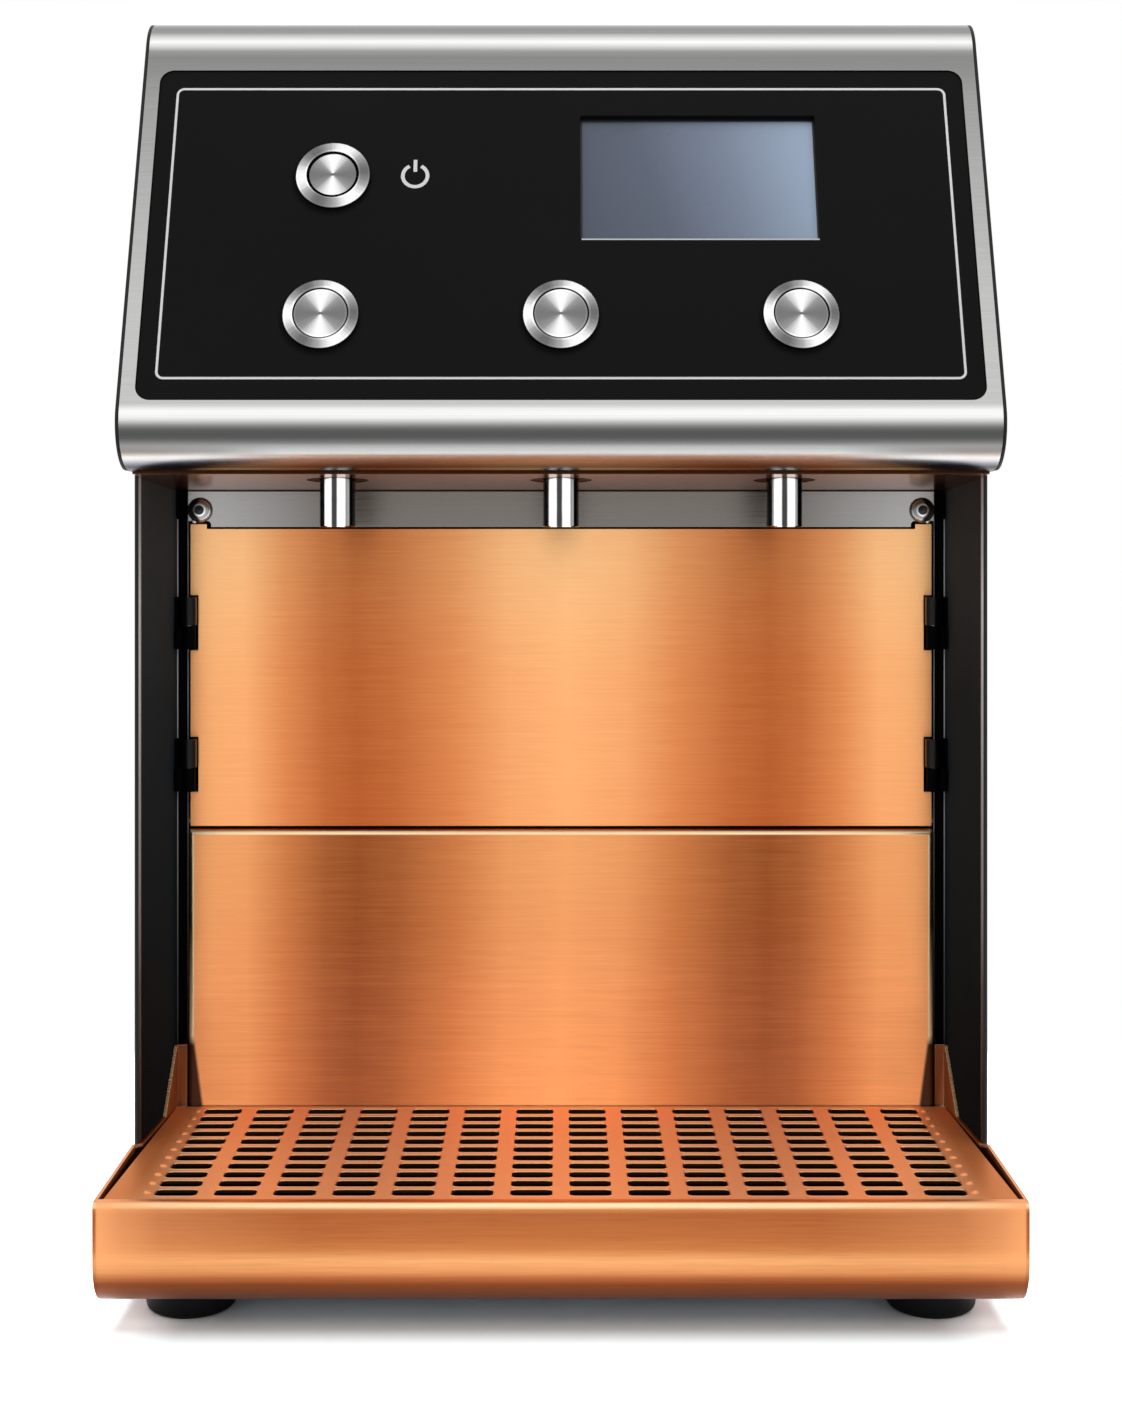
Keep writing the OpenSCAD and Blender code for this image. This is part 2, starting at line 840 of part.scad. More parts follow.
module rail_screws() {
  color("silver") both() difference() {
    union() {
      rod_y(rail_screw_x, rail_y - 3.2, rail_y, rail_screw_z, rail_screw_r);
      rod_y(rail_screw_x, rail_y - 0.1, flange_y + 4, rail_screw_z, 3);
    }
    translate([rail_screw_x, rail_y - 1.2, rail_screw_z]) rotate([90, 0, 0])
      cylinder(h = 4, r = 2.3, $fn = 6);
  }
}

// Splash panels and hinges

module upper_splash_panel() {
  color([0.78, 0.45, 0.3]) difference() {
    union() {
      block([-splash_half, splash_y, door_z], [splash_half, splash_y + copper_t, door_top]);
      both() block(
        [rail_half - ear_l + 2.5, splash_y, door_top - 1],
        [splash_half, splash_y + copper_t, door_top + door_tab]
      );
    }
    both() for (z = hinge_zs) block(
      [notch_x, splash_y - 1, z - 0.6],
      [splash_half + 1, splash_y + copper_t + 1, z + hinge_h + 0.6]
    );
  }
}

module hinge_panel_leaves() {
  color([0.1, 0.1, 0.1]) both() for (z = hinge_zs) difference() {
    z0 = z + frame_knuckle_h + knuckle_gap;
    z1 = z + hinge_h;
    inner = axis_x - pin_r - 0.2;
    union() {
      rod_z(axis_x, axis_y, z0, z1, knuckle_r);
      block([notch_x + 0.2, axis_y - 1, z0], [inner, splash_y + copper_t + 1.2, z1]);
      block([notch_x - 12, splash_y + copper_t, z0], [inner, splash_y + copper_t + 1.2, z1]);
    }
    rod_z(axis_x, axis_y, z0 - 1, z1 + 1, pin_r + 0.15);
    block([axis_x - pin_r - 0.15, axis_y, z0 - 1], [axis_x + pin_r + 0.15, axis_y + knuckle_r + 1, z1 + 1]);
  }
}

module hinge_frame_leaves() {
  leaf_front = axis_y + 1;
  color([0.1, 0.1, 0.1]) both() for (z = hinge_zs) difference() {
    union() {
      rod_z(axis_x, axis_y, z, z + frame_knuckle_h, knuckle_r);
      block([axis_x, axis_y - 1.5, z], [cheek_x(axis_y) - 1, axis_y + 1.5, z + frame_knuckle_h]);
      prism_z(z, z + hinge_h) polygon([
        [cheek_x(leaf_front) - seat, leaf_front],
        [cheek_x(flange_y) - seat, flange_y - seat],
        [cheek_x(flange_y) - 1.5, flange_y - seat],
        [cheek_x(leaf_front) - 1.5, leaf_front]
      ]);
    }
    rod_z(axis_x, axis_y, z - 1, z + hinge_h, pin_r + 0.03);
  }
}

module hinge_pins() {
  color("silver") both() for (z = hinge_zs) rod_z(axis_x, axis_y, z + 1, z + hinge_h - 1, pin_r);
}

module lower_panel_solid(inset) {
  r = fold_r - inset;
  y = lower_y + inset;
  depth = flange_y - seat - lower_y + (inset > 0 ? 1 : -inset);
  half = lower_half - inset;
  top = lower_top - inset;
  intersection() {
    prism_z(lower_bottom - (inset > 0 ? 1 : 0), top) union() {
      translate([-half + r, y]) square([2 * half - 2 * r, depth]);
      translate([-half, y + r]) square([2 * half, depth - r]);
      for (s = [-1, 1]) translate([s * (half - r), y + r]) circle(r);
    }
    prism_x(-half, half) union() {
      translate([y, lower_bottom - 2]) square([depth, top - r - lower_bottom + 2]);
      translate([y + r, lower_bottom - 2]) square([depth - r, top - lower_bottom + 2]);
      translate([y + r, top - r]) circle(r);
    }
  }
}

module lower_splash_panel() {
  color([0.78, 0.45, 0.3]) difference() {
    lower_panel_solid(0);
    lower_panel_solid(copper_t);
  }
}

module inner_bulkhead() {
  color([0.15, 0.15, 0.15])
    block([-flange_x + seat, flange_y, base_top], [flange_x - seat, flange_y + side_t, shelf_z]);
}

// Drip tray and grille

module tray_sheet() {
  difference() {
    apron_outline(0);
    apron_outline(tray_t);
    translate([front_y + lip_l, rim_z - 10]) square([apron_r + 10, 20]);
    translate([front_y + apron_r + 1, apron_z - 1]) square([apron_r, rim_z]);
    translate([front_y + lip_l, apron_z + apron_r]) square([apron_r, rim_z]);
  }
  translate([front_y + tray_t / 2, grille_top - grille_t - gap - tray_t])
    square([lip_l + ledge_w - tray_t / 2, tray_t]);
  translate([front_y + 9, floor_z]) square([tray_rear_y - front_y - 9, tray_t]);
  translate([tray_rear_y - tray_t, floor_z]) square([tray_t, grille_top - floor_z]);
  translate([tray_rear_y - tray_t - ledge_w, grille_top - grille_t - gap - tray_t])
    square([ledge_w + 0.5, tray_t]);
}

module tray_side_outline() {
  intersection() {
    apron_outline(0);
    translate([front_y, apron_z]) square([apron_r + 1, rim_z]);
  }
  translate([front_y + apron_r, floor_z]) square([tray_end_y - front_y - apron_r, rim_z - floor_z]);
  polygon([
    [tray_end_y - 26, rim_z - 1],
    [tray_end_y - 3, rim_z + ear_h],
    [tray_end_y, rim_z + ear_h],
    [tray_end_y, rim_z - 1]
  ]);
}

module drip_tray() {
  ear_x = tray_x(tray_end_y);
  color([0.72, 0.42, 0.28]) {
    intersection() {
      prism_x(-half_w, half_w) tray_sheet();
      prism_z(0, rim_z + 1) tray_plan(tray_t / 2);
    }
    intersection() {
      prism_x(-half_w, half_w) tray_side_outline();
      prism_z(0, rim_z + ear_h + 1) difference() {
        tray_plan(0);
        tray_plan(tray_t);
        translate([-half_w + 6, tray_end_y - 1]) square([overall_w - 12, 5]);
        translate([-tray_x(tray_end_y) + 3, front_y - 5])
          square([2 * tray_x(tray_end_y) - 6, overall_d]);
      }
    }
    both() block(
      [lower_half + 0.6, tray_end_y - tray_t, rim_z - 3],
      [ear_x - tray_t / 2, tray_end_y, rim_z + ear_h]
    );
  }
}

module drip_grille() {
  front_half = half_w - tray_t - 1.5;
  rear_half = tray_x(grille_rear_y) - tray_t - grille_gap;
  color([0.78, 0.45, 0.3]) prism_z(grille_top - grille_t, grille_top) difference() {
    polygon([
      [-front_half, grille_front_y],
      [front_half, grille_front_y],
      [rear_half, grille_rear_y],
      [-rear_half, grille_rear_y]
    ]);
    for (i = [0 : slot_cols - 1], j = [0 : slot_rows - 1])
      translate([(i - (slot_cols - 1) / 2) * slot_px, slots_mid_y + (j - (slot_rows - 1) / 2) * slot_py])
        rounded(slot_l, slot_w, slot_r);
  }
}

// Heater, pumps and hoses

module heater_vessel() {
  color("silver") difference() {
    union() {
      rod_x(-heater_half, heater_half, heater_y, heater_z, heater_r);
      for (x = spout_xs)
        rod_y(x, heater_y - heater_r - port_l, heater_y + heater_r + port_l, heater_z, tail_r);
    }
    rod_x(-heater_half - 1, heater_half + 1, heater_y, heater_z, heater_r - heater_wall);
    for (x = spout_xs)
      rod_y(x, heater_y - heater_r - port_l - 1, heater_y + heater_r + port_l + 1, heater_z, tail_bore_r);
  }
}

module heater_caps() {
  color("silver") {
    difference() {
      rod_x(heater_half + seat, heater_half + cap_t, heater_y, heater_z, heater_r + 4);
      for (s = [-1, 1])
        translate([0, 0, s * element_up])
          rod_x(heater_half - 1, heater_half + cap_t + 1, heater_y, heater_z, element_r + seat);
    }
    difference() {
      rod_x(-heater_half - cap_t, -heater_half - seat, heater_y, heater_z, heater_r + 4);
      rod_x(-heater_half - cap_t - 1, -heater_half + 1, heater_y, heater_z, 3 + seat);
    }
  }
}

module heating_element() {
  bend_x = -heater_half + element_in;
  color("darkgray") {
    for (s = [-1, 1]) translate([0, 0, s * element_up]) {
      rod_x(bend_x, heater_half + cap_t + 8, heater_y, heater_z, element_r);
      rod_x(heater_half + cap_t + 7.9, heater_half + cap_t + terminal_l, heater_y, heater_z, 2);
    }
    translate([bend_x, heater_y, heater_z]) rotate([90, 0, 0]) rotate([0, 0, 90])
      rotate_extrude(angle = 180) translate([element_up, 0]) circle(element_r);
  }
}

module temperature_sensor() {
  color("silver") {
    rod_x(-heater_half - cap_t - 14, -heater_half + sensor_l, heater_y, heater_z, 3);
    rod_x(-heater_half - cap_t - 10, -heater_half - cap_t - seat, heater_y, heater_z, 7);
  }
}

module heater_shelf() {
  half = half_w - shell_t - 0.2;
  y0 = heater_y - shelf_reach;
  y1 = heater_y + shelf_reach;
  saddle_x = heater_half - saddle_in;
  color("gray") difference() {
    union() {
      block([-half, y0, heater_shelf_z], [half, y1, heater_shelf_z + heater_shelf_t]);
      both() block(
        [half_w - side_t - 1.7, y0, head_z - 30],
        [half_w - side_t - 0.2, y1, heater_shelf_z + 0.5]
      );
      both() block(
        [saddle_x, heater_y - saddle_reach, heater_shelf_z + 1],
        [saddle_x + saddle_t, heater_y + saddle_reach, heater_z - heater_r + 13]
      );
    }
    rod_x(-heater_half, heater_half, heater_y, heater_z, heater_r + seat);
  }
}

module pump_heads() {
  color([0.85, 0.85, 0.82]) for (x = spout_xs) difference() {
    union() {
      rod_x(x - pump_half, x + pump_half, pump_y, pump_z, pump_r);
      block([x - 12, pump_y - 22, shelf_z + shelf_t], [x + 12, pump_y + 22, pump_z - cavity_r - 1.2]);
      rod_y(x, pump_y + pump_r - 3, pump_y + pump_r + port_l, pump_z, tail_r);
      rod_z(x, pump_y, pump_z + pump_r - 3, pump_z + pump_r + port_l, tail_r);
    }
    rod_x(x - pump_half + 4, x + pump_half + 1, pump_y, pump_z, cavity_r);
    rod_y(x, pump_y, pump_y + pump_r + port_l + 1, pump_z, tail_bore_r);
    rod_z(x, pump_y, pump_z, pump_z + pump_r + port_l + 1, tail_bore_r);
  }
}

module pump_motors() {
  color([0.25, 0.25, 0.27]) for (x = spout_xs) difference() {
    union() {
      rod_x(x + pump_half + seat, x + pump_half + 4, pump_y, pump_z, pump_r);
      rod_x(x + pump_half + 3.9, x + pump_half + motor_l, pump_y, pump_z, motor_r);
      block(
        [x + pump_half + 12, pump_y - 15, shelf_z + shelf_t],
        [x + pump_half + motor_l - 8, pump_y + 15, pump_z - motor_r + 6]
      );
    }
    rod_x(x + pump_half - 1, x + pump_half + 30, pump_y, pump_z, 3.4);
  }
}

module pump_rotor(x) {
  rod_x(x - pump_half + 5, x - pump_half + 8, pump_y, pump_z, rotor_r - 2);
  rod_x(x + pump_half - 4.5, x + pump_half - 1.5, pump_y, pump_z, rotor_r - 2);
  for (a = [90, 210, 330])
    rod_x(x - pump_half + 7.9, x + pump_half - 4.4, pump_y + 13 * cos(a), pump_z + 13 * sin(a), 6);
  rod_x(x - pump_half + 7, x + pump_half + 28, pump_y, pump_z, 3);
}

module left_pump_rotor() {
  color("white") pump_rotor(spout_xs[0]);
}

module centre_pump_rotor() {
  color("white") pump_rotor(spout_xs[1]);
}

module right_pump_rotor() {
  color("white") pump_rotor(spout_xs[2]);
}

module pump_shelf() {
  color("dimgray")
    block(
      [-half_w + side_t + 0.2, flange_y + side_t + seat, shelf_z],
      [half_w - side_t - 0.2, rear_y - rear_t - seat, shelf_z + shelf_t]
    );
}

module supply_hoses() {
  color([0.8, 0.8, 0.75, 0.6]) for (x = spout_xs) difference() {
    rod_y(x, pump_y + pump_r + 2, rear_y - rear_t - 7, pump_z, hose_r);
    rod_y(x, pump_y, rear_y, pump_z, hose_bore_r);
  }
}

module feed_hoses() {
  color([0.8, 0.8, 0.75, 0.6]) for (x = spout_xs)
    elbow_hose(x, pump_y, pump_z + pump_r + 1, heater_y + heater_r + 1, heater_z, bend_feed);
}

module outlet_hoses() {
  color([0.8, 0.8, 0.75, 0.6]) for (x = spout_xs)
    elbow_hose(x, spout_y, neck_z + seat, heater_y - heater_r - 1, heater_z, bend_out);
}

module inlet_fittings() {
  color("silver") for (x = spout_xs) difference() {
    union() {
      rod_y(x, rear_y, rear_y + 4, pump_z, inlet_hole_r + 4);
      rod_y(x, rear_y - rear_t - 0.2, rear_y + 0.1, pump_z, inlet_hole_r);
      rod_y(x, rear_y - rear_t - 6, rear_y - rear_t - seat, pump_z, inlet_hole_r + 3);
      rod_y(x, fitting_in, rear_y, pump_z, tail_r);
      rod_y(x, rear_y, rear_y + inlet_tail, pump_z, tail_r);
    }
    rod_y(x, fitting_in - 1, rear_y + inlet_tail + 1, pump_z, tail_bore_r);
  }
}

// Electrics

module control_board() {
  color("darkgreen") on_fascia() {
    block([board_x0, board_y0, board_z], [board_x1, board_y1, board_z + 1.6]);
    block([board_x0 + 20, board_y0 + 14, board_z - 14], [board_x0 + 60, board_y0 + 34, board_z + 0.1]);
    block([board_x0 + 80, board_y0 + 50, board_z - 8], [board_x0 + 120, board_y0 + 80, board_z + 0.1]);
    block([board_x1 - 60, board_y0 + 8, board_z - 12], [board_x1 - 10, board_y0 + 20, board_z + 0.1]);
    for (x = [board_x0 + 5, board_x1 - 3.8], y = [board_y0 + 4, board_y1 - 5])
      translate([x, y, board_z + 1.5]) cylinder(h = -fascia_sink - fascia_t - seat - board_z - 1.5, r = 2.8);
  }
}

module power_supply() {
  color("silver") block([-75, flange_y + 50, base_top], [75, flange_y + 150, base_top + 48]);
}

module mains_inlet() {
  color([0.08, 0.08, 0.08]) difference() {
    union() {
      block([mains_x - 25, rear_y, mains_z - 14.5], [mains_x + 25, rear_y + 3, mains_z + 14.5]);
      block(
        [mains_x - mains_w / 2, rear_y - 24, mains_z - mains_h / 2],
        [mains_x + mains_w / 2, rear_y + 0.1, mains_z + mains_h / 2]
      );
    }
    block([mains_x - 12, rear_y - 16, mains_z - 8], [mains_x + 12, rear_y + 4, mains_z + 8]);
  }
  color("silver") for (p = [[-7, -2], [0, 2], [7, -2]])
    block(
      [mains_x + p[0] - 1, rear_y - 17, mains_z + p[1] - 2],
      [mains_x + p[0] + 1, rear_y - 2, mains_z + p[1] + 2]
    );
}

// Drawing

base_plate();
rubber_feet();
foot_screws();
left_side_panel();
right_side_panel();
rear_panel();
rear_screws();
head_shell();
left_head_cheek();
right_head_cheek();
underside_plate();
spout_rail();
rail_screws();
rail_carrier();
upper_splash_panel();
hinge_panel_leaves();
hinge_frame_leaves();
hinge_pins();
lower_splash_panel();
inner_bulkhead();
drip_tray();
drip_grille();
fascia_panel();
display_module();
power_button();
left_button();
centre_button();
right_button();
power_spring();
left_spring();
centre_spring();
right_spring();
button_bezels();
power_ring();
button_nuts();
switch_bodies();
left_spout();
centre_spout();
right_spout();
spout_carrier();
spout_nuts();
spout_collars();
heater_vessel();
heater_caps();
heating_element();
temperature_sensor();
heater_shelf();
pump_heads();
pump_motors();
left_pump_rotor();
centre_pump_rotor();
right_pump_rotor();
pump_shelf();
supply_hoses();
feed_hoses();
outlet_hoses();
inlet_fittings();
control_board();
power_supply();
mains_inlet();
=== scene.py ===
# %% [markdown]
# A counter-top dispenser for hot drinks: a stainless head with a black button fascia leans back over a
# cup bay that is lined with brushed copper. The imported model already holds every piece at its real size,
# so this lesson gives those pieces their finishes, softens their edges and adds the small things that
# repeat.

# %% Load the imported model
import json
import math

import bmesh
import bpy
from mathutils import Matrix, Vector

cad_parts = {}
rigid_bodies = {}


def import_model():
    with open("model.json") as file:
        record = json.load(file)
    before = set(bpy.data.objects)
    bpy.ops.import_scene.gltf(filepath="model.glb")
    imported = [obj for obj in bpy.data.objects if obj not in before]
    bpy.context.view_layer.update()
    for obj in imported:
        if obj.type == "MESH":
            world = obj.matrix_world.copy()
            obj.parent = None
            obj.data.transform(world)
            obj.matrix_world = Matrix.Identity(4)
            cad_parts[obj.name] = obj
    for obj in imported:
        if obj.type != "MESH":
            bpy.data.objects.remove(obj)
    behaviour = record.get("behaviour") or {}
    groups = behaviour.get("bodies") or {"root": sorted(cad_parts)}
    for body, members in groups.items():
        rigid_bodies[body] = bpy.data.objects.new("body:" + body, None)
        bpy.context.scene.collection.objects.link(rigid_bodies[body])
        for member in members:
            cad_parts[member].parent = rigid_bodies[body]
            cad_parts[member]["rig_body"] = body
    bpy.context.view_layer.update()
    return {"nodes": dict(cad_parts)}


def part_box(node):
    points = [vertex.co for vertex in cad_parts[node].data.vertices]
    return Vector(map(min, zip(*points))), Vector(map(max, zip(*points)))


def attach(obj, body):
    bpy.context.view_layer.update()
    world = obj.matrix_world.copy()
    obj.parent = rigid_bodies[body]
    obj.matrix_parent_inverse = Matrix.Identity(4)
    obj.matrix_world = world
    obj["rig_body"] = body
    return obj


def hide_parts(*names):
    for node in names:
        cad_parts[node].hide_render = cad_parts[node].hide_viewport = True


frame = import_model()
nodes = frame["nodes"]
scene = bpy.context.scene
scene.view_settings.view_transform = "Standard"
MM = 0.001

# %% [markdown]
# The picture was taken square from the front with upright edges kept upright, so the camera is level and
# the frame is shifted downwards, as a view camera does it. A tilted camera would make the sides lean.

# %% Camera
cam_data = bpy.data.cameras.new("front_camera")
cam_data.sensor_width = 36.0
cam_data.lens = 51.36
cam_data.shift_y = -0.1255
camera = bpy.data.objects.new("front_camera", cam_data)
camera.location = (0.0, -1.093, 0.350)
camera.rotation_euler = (math.radians(90), 0.0, 0.0)
scene.collection.objects.link(camera)
scene.camera = camera
print("camera at", tuple(round(v, 3) for v in camera.location))

# %% [markdown]
# Helpers for node trees. A tree is easier to read when a link is written beside the node that it feeds,
# so one small function adds a node, sets its values and connects its inputs in one go.


# %% Node helper
def add(tree, kind, inputs=None, **settings):
    """Adds a node. A socket among the inputs is linked, and any other value is set on the socket."""
    made = tree.nodes.new(kind)
    for key, value in settings.items():
        setattr(made, key, value)
    for key, value in (inputs or {}).items():
        if isinstance(value, bpy.types.NodeSocket):
            tree.links.new(value, made.inputs[key])
        else:
            made.inputs[key].default_value = value
    return made


def maths(tree, operation, first, second=0.0):
    """One step of arithmetic, given as its output socket."""
    return add(tree, "ShaderNodeMath", {0: first, 1: second}, operation=operation).outputs[0]


def swing(tree, value, strength):
    """A value around one half, as a change to both sides."""
    return maths(tree, "MULTIPLY", maths(tree, "SUBTRACT", value, 0.5), strength)


def ranged(tree, value, low, high):
    """Where a value lies between two limits, as 0 to 1."""
    limits = {"Value": value, "From Min": low, "From Max": high}
    return add(tree, "ShaderNodeMapRange", limits).outputs["Result"]


def spread(tree, value, low, high):
    """Maps 0 to 1 onto a range."""
    limits = {"Value": value, "To Min": low, "To Max": high}
    return add(tree, "ShaderNodeMapRange", limits).outputs["Result"]


def noise(tree, where, scale, detail, rough=0.5):
    """Soft noise around one half."""
    sizes = {"Vector": where, "Scale": scale, "Detail": detail, "Roughness": rough}
    return add(tree, "ShaderNodeTexNoise", sizes).outputs["Fac"]


def place(tree):
    """The place on the object, in its own coordinates."""
    return add(tree, "ShaderNodeTexCoord").outputs["Object"]


def axes(tree, point=None):
    """The X, Y and Z of a point, or of the place on the object."""
    if point is None:
        point = place(tree)
    return add(tree, "ShaderNodeSeparateXYZ", {0: point}).outputs


def blend(tree, fac, first, second, kind="MIX"):
    """Two colours, each a socket or RGBA values, mixed by a factor and given as a colour socket."""
    colours = {0: fac, 6: first, 7: second}
    return add(tree, "ShaderNodeMix", colours, data_type="RGBA", blend_type=kind).outputs[2]


def ramp(tree, fac, stops):
    """A colour ramp from (position, colour) stops, given as its colour socket."""
    made = add(tree, "ShaderNodeValToRGB", {"Fac": fac})
    points = made.color_ramp.elements
    while len(points) < len(stops):
        points.new(0.5)
    for point, (position, colour) in zip(points, stops):
        point.position = position
        point.color = (*colour, 1.0)
    return made.outputs["Color"]


def grey(level):
    """A neutral colour."""
    return (level, level, level)


# %% [markdown]
# Metal shows its surroundings more than its own colour. The world is a white studio: plain white to the
# camera and through glass, and nearly even to mirror-like rays, a little brighter above eye level. The
# stripes that a real studio leaves on rounded metal are then painted into each finish as painted
# reflections, where they stay the same under any other light.

# %% World
world = bpy.data.worlds.new("studio")
scene.world = world
world.use_nodes = True
tree = world.node_tree
tree.nodes.clear()
rays = add(tree, "ShaderNodeLightPath")
way = add(tree, "ShaderNodeTexCoord").outputs["Generated"]
lift = ranged(tree, axes(tree, way)["Z"], -1.0, 1.0)
studio_stops = [(0.30, grey(0.92)), (0.50, grey(1.0)), (0.70, grey(1.04)), (1.0, grey(1.0))]
studio = ramp(tree, lift, studio_stops)
seen = add(tree, "ShaderNodeBackground", {"Color": (1, 1, 1, 1), "Strength": 1.0})
mirrored = add(tree, "ShaderNodeBackground", {"Color": studio, "Strength": 1.12})
ambient = add(tree, "ShaderNodeBackground", {"Color": (1, 1, 1, 1), "Strength": 0.26})
direct = maths(tree, "MAXIMUM", rays.outputs["Is Camera Ray"], rays.outputs["Is Transmission Ray"])
glossy = rays.outputs["Is Glossy Ray"]
soft = add(tree, "ShaderNodeMixShader", {0: glossy, 1: ambient.outputs[0], 2: mirrored.outputs[0]})
whole = add(tree, "ShaderNodeMixShader", {0: direct, 1: soft.outputs[0], 2: seen.outputs[0]})
add(tree, "ShaderNodeOutputWorld", {"Surface": whole.outputs[0]})
print("world nodes:", len(tree.nodes))


# %% [markdown]
# Soft boxes: a wide one above and behind the camera, one overhead that puts the shadow under the machine,
# and two upright ones at the sides. They are kept out of reflections, because the world already draws
# those, and a lamp that shows twice would burn white spots into the copper. A dim one low in the bay
# stands for the light that the bright grille throws back; light linking gives it to the lower panel only,
# once that panel is dressed.


# %% Lamps
def soft_box(name, place, target, size, watts):
    """A rectangular area lamp that faces a target."""
    data = bpy.data.lights.new(name, "AREA")
    data.shape = "RECTANGLE"
    data.size, data.size_y = size
    data.energy = watts
    lamp = bpy.data.objects.new(name, data)
    lamp.location = place
    lamp.rotation_euler = (Vector(target) - Vector(place)).to_track_quat("-Z", "Y").to_euler()
    lamp.visible_glossy = False
    scene.collection.objects.link(lamp)
    return lamp


soft_box("front_box", (0.0, -2.6, 2.4), (0, 0, 0.35), (3.2, 1.0), 11)
soft_box("top_box", (0.0, -0.45, 2.4), (0, -0.15, 0.2), (2.6, 2.4), 52)
soft_box("left_strip", (-1.9, -1.9, 0.95), (0, -0.1, 0.35), (0.7, 1.7), 6)
soft_box("right_strip", (1.9, -1.9, 0.95), (0, -0.1, 0.35), (0.7, 1.7), 6)
bounce = soft_box("grille_bounce", (0.0, -0.30, 0.085), (0, -0.09, 0.080), (0.52, 0.04), 0.52)
bounce.visible_camera = False

# %% [markdown]
# The floor is a pale matt sheet that takes the shadow. For the camera, for reflections and through glass
# its colour is raised until the open floor is white, and the shadow keeps its depth because nothing
# glows. Between the feet a painted shadow makes it deeper than at the sides, beside the feet it is
# painted lighter, and in front it is a little cool, which balances the glow of the copper. Further out
# the sheet fades away, so that no horizon shows.


# %% Floor
def sealed(bm, name):
    """A finished bmesh as a mesh."""
    mesh = bpy.data.meshes.new(name)
    bm.to_mesh(mesh)
    bm.free()
    return mesh


def flat_piece(name, half, z):
    """A square sheet in plan."""
    bm = bmesh.new()
    corners = ((-1, -1), (1, -1), (1, 1), (-1, 1))
    bm.faces.new([bm.verts.new((x * half, y * half, z)) for x, y in corners])
    made = bpy.data.objects.new(name, sealed(bm, name))
    scene.collection.objects.link(made)
    return made


FLOOR_PLAIN, FLOOR_WHITE = 0.8, 1.48
OPEN, COOL, DEEP = (1.0, 1.0, 1.0, 1.0), (1.0, 1.10, 1.125, 1.0), (0.54, 0.58, 0.59, 1.0)
floor = flat_piece("floor", 0.8, 0.0)
pale = bpy.data.materials.new("pale_floor")
pale.use_nodes = True
tree = pale.node_tree
tree.nodes.clear()
rays = add(tree, "ShaderNodeLightPath")
watched = maths(tree, "MAXIMUM", rays.outputs["Is Camera Ray"], rays.outputs["Is Glossy Ray"])
watched = maths(tree, "MAXIMUM", watched, rays.outputs["Is Transmission Ray"])
level = spread(tree, watched, FLOOR_PLAIN, FLOOR_WHITE)
spot = place(tree)
part = axes(tree, spot)
across, along = (maths(tree, "ABSOLUTE", part[axis]) for axis in "XY")
# Painted shadow under the tray between the feet, and painted light beside the feet.
inner = ranged(tree, across, 0.172, 0.150)
outer = ranged(tree, across, 0.166, 0.186)
below = ranged(tree, along, 0.228, 0.188)
cool = blend(tree, ranged(tree, part["Y"], -0.08, -0.18), OPEN, COOL)
deep = blend(tree, maths(tree, "MULTIPLY", inner, below), cool, DEEP)
near = ranged(tree, along, 0.242, 0.212)
beside = maths(tree, "ADD", maths(tree, "MULTIPLY", maths(tree, "MULTIPLY", outer, near), 1.2), 1.0)
level = maths(tree, "MULTIPLY", level, beside)
shaded = add(tree, "ShaderNodeVectorMath", {0: deep, "Scale": level}, operation="SCALE").outputs[0]
matt = add(tree, "ShaderNodeBsdfDiffuse", {"Color": shaded})
reach = add(tree, "ShaderNodeVectorMath", {0: spot}, operation="LENGTH").outputs["Value"]
fade = ranged(tree, reach, 0.30, 0.50)
clear = add(tree, "ShaderNodeBsdfTransparent")
edge = add(tree, "ShaderNodeMixShader", {0: fade, 1: matt.outputs[0], 2: clear.outputs[0]})
add(tree, "ShaderNodeOutputMaterial", {"Surface": edge.outputs[0]})
floor.data.materials.append(pale)
print("stage:", floor.name)

# %% [markdown]
# Sheet metal is brushed by a belt that runs one way, which leaves fine scratches of many lengths. The
# grain group stretches noise along one direction of the object. It gives a shade for the colour and
# roughness, and a height for the bump. Copper, steel and the plated inner parts all use it with their own
# sizes.


# %% Shared surface effects as node groups
def group(name, inputs, outputs):
    """An empty shader group with named sockets: (tree, input sockets, output node)."""
    made = bpy.data.node_groups.new(name, "ShaderNodeTree")
    for label, kind, value in inputs:
        socket = made.interface.new_socket(label, in_out="INPUT", socket_type=kind)
        if value is not None:
            socket.default_value = value
    for label, kind in outputs:
        made.interface.new_socket(label, in_out="OUTPUT", socket_type=kind)
    return made, made.nodes.new("NodeGroupInput").outputs, made.nodes.new("NodeGroupOutput")


V, F = "NodeSocketVector", "NodeSocketFloat"
brushed_grain, given, out = group(
    "brushed_grain",
    [("Vector", V, None), ("Stretch", V, (4.0, 900.0, 900.0)), ("Streaks", F, 0.5)],
    [("Shade", F), ("Height", F)])
tree = brushed_grain
stretched = {0: given["Vector"], 1: given["Stretch"]}
run = add(tree, "ShaderNodeVectorMath", stretched, operation="MULTIPLY").outputs[0]
fine = noise(tree, run, 1.0, 3.0, 0.7)
broad_run = add(tree, "ShaderNodeVectorMath", {0: run, "Scale": 0.18}, operation="SCALE").outputs[0]
broad = noise(tree, broad_run, 1.0, 2.0)
mixed = add(tree, "ShaderNodeMix", {0: given["Streaks"], 2: fine, 3: broad}).outputs[0]
tree.links.new(ranged(tree, mixed, 0.3, 0.7), out.inputs["Shade"])
tree.links.new(fine, out.inputs["Height"])
print("group:", tree.name, len(tree.nodes), "nodes")
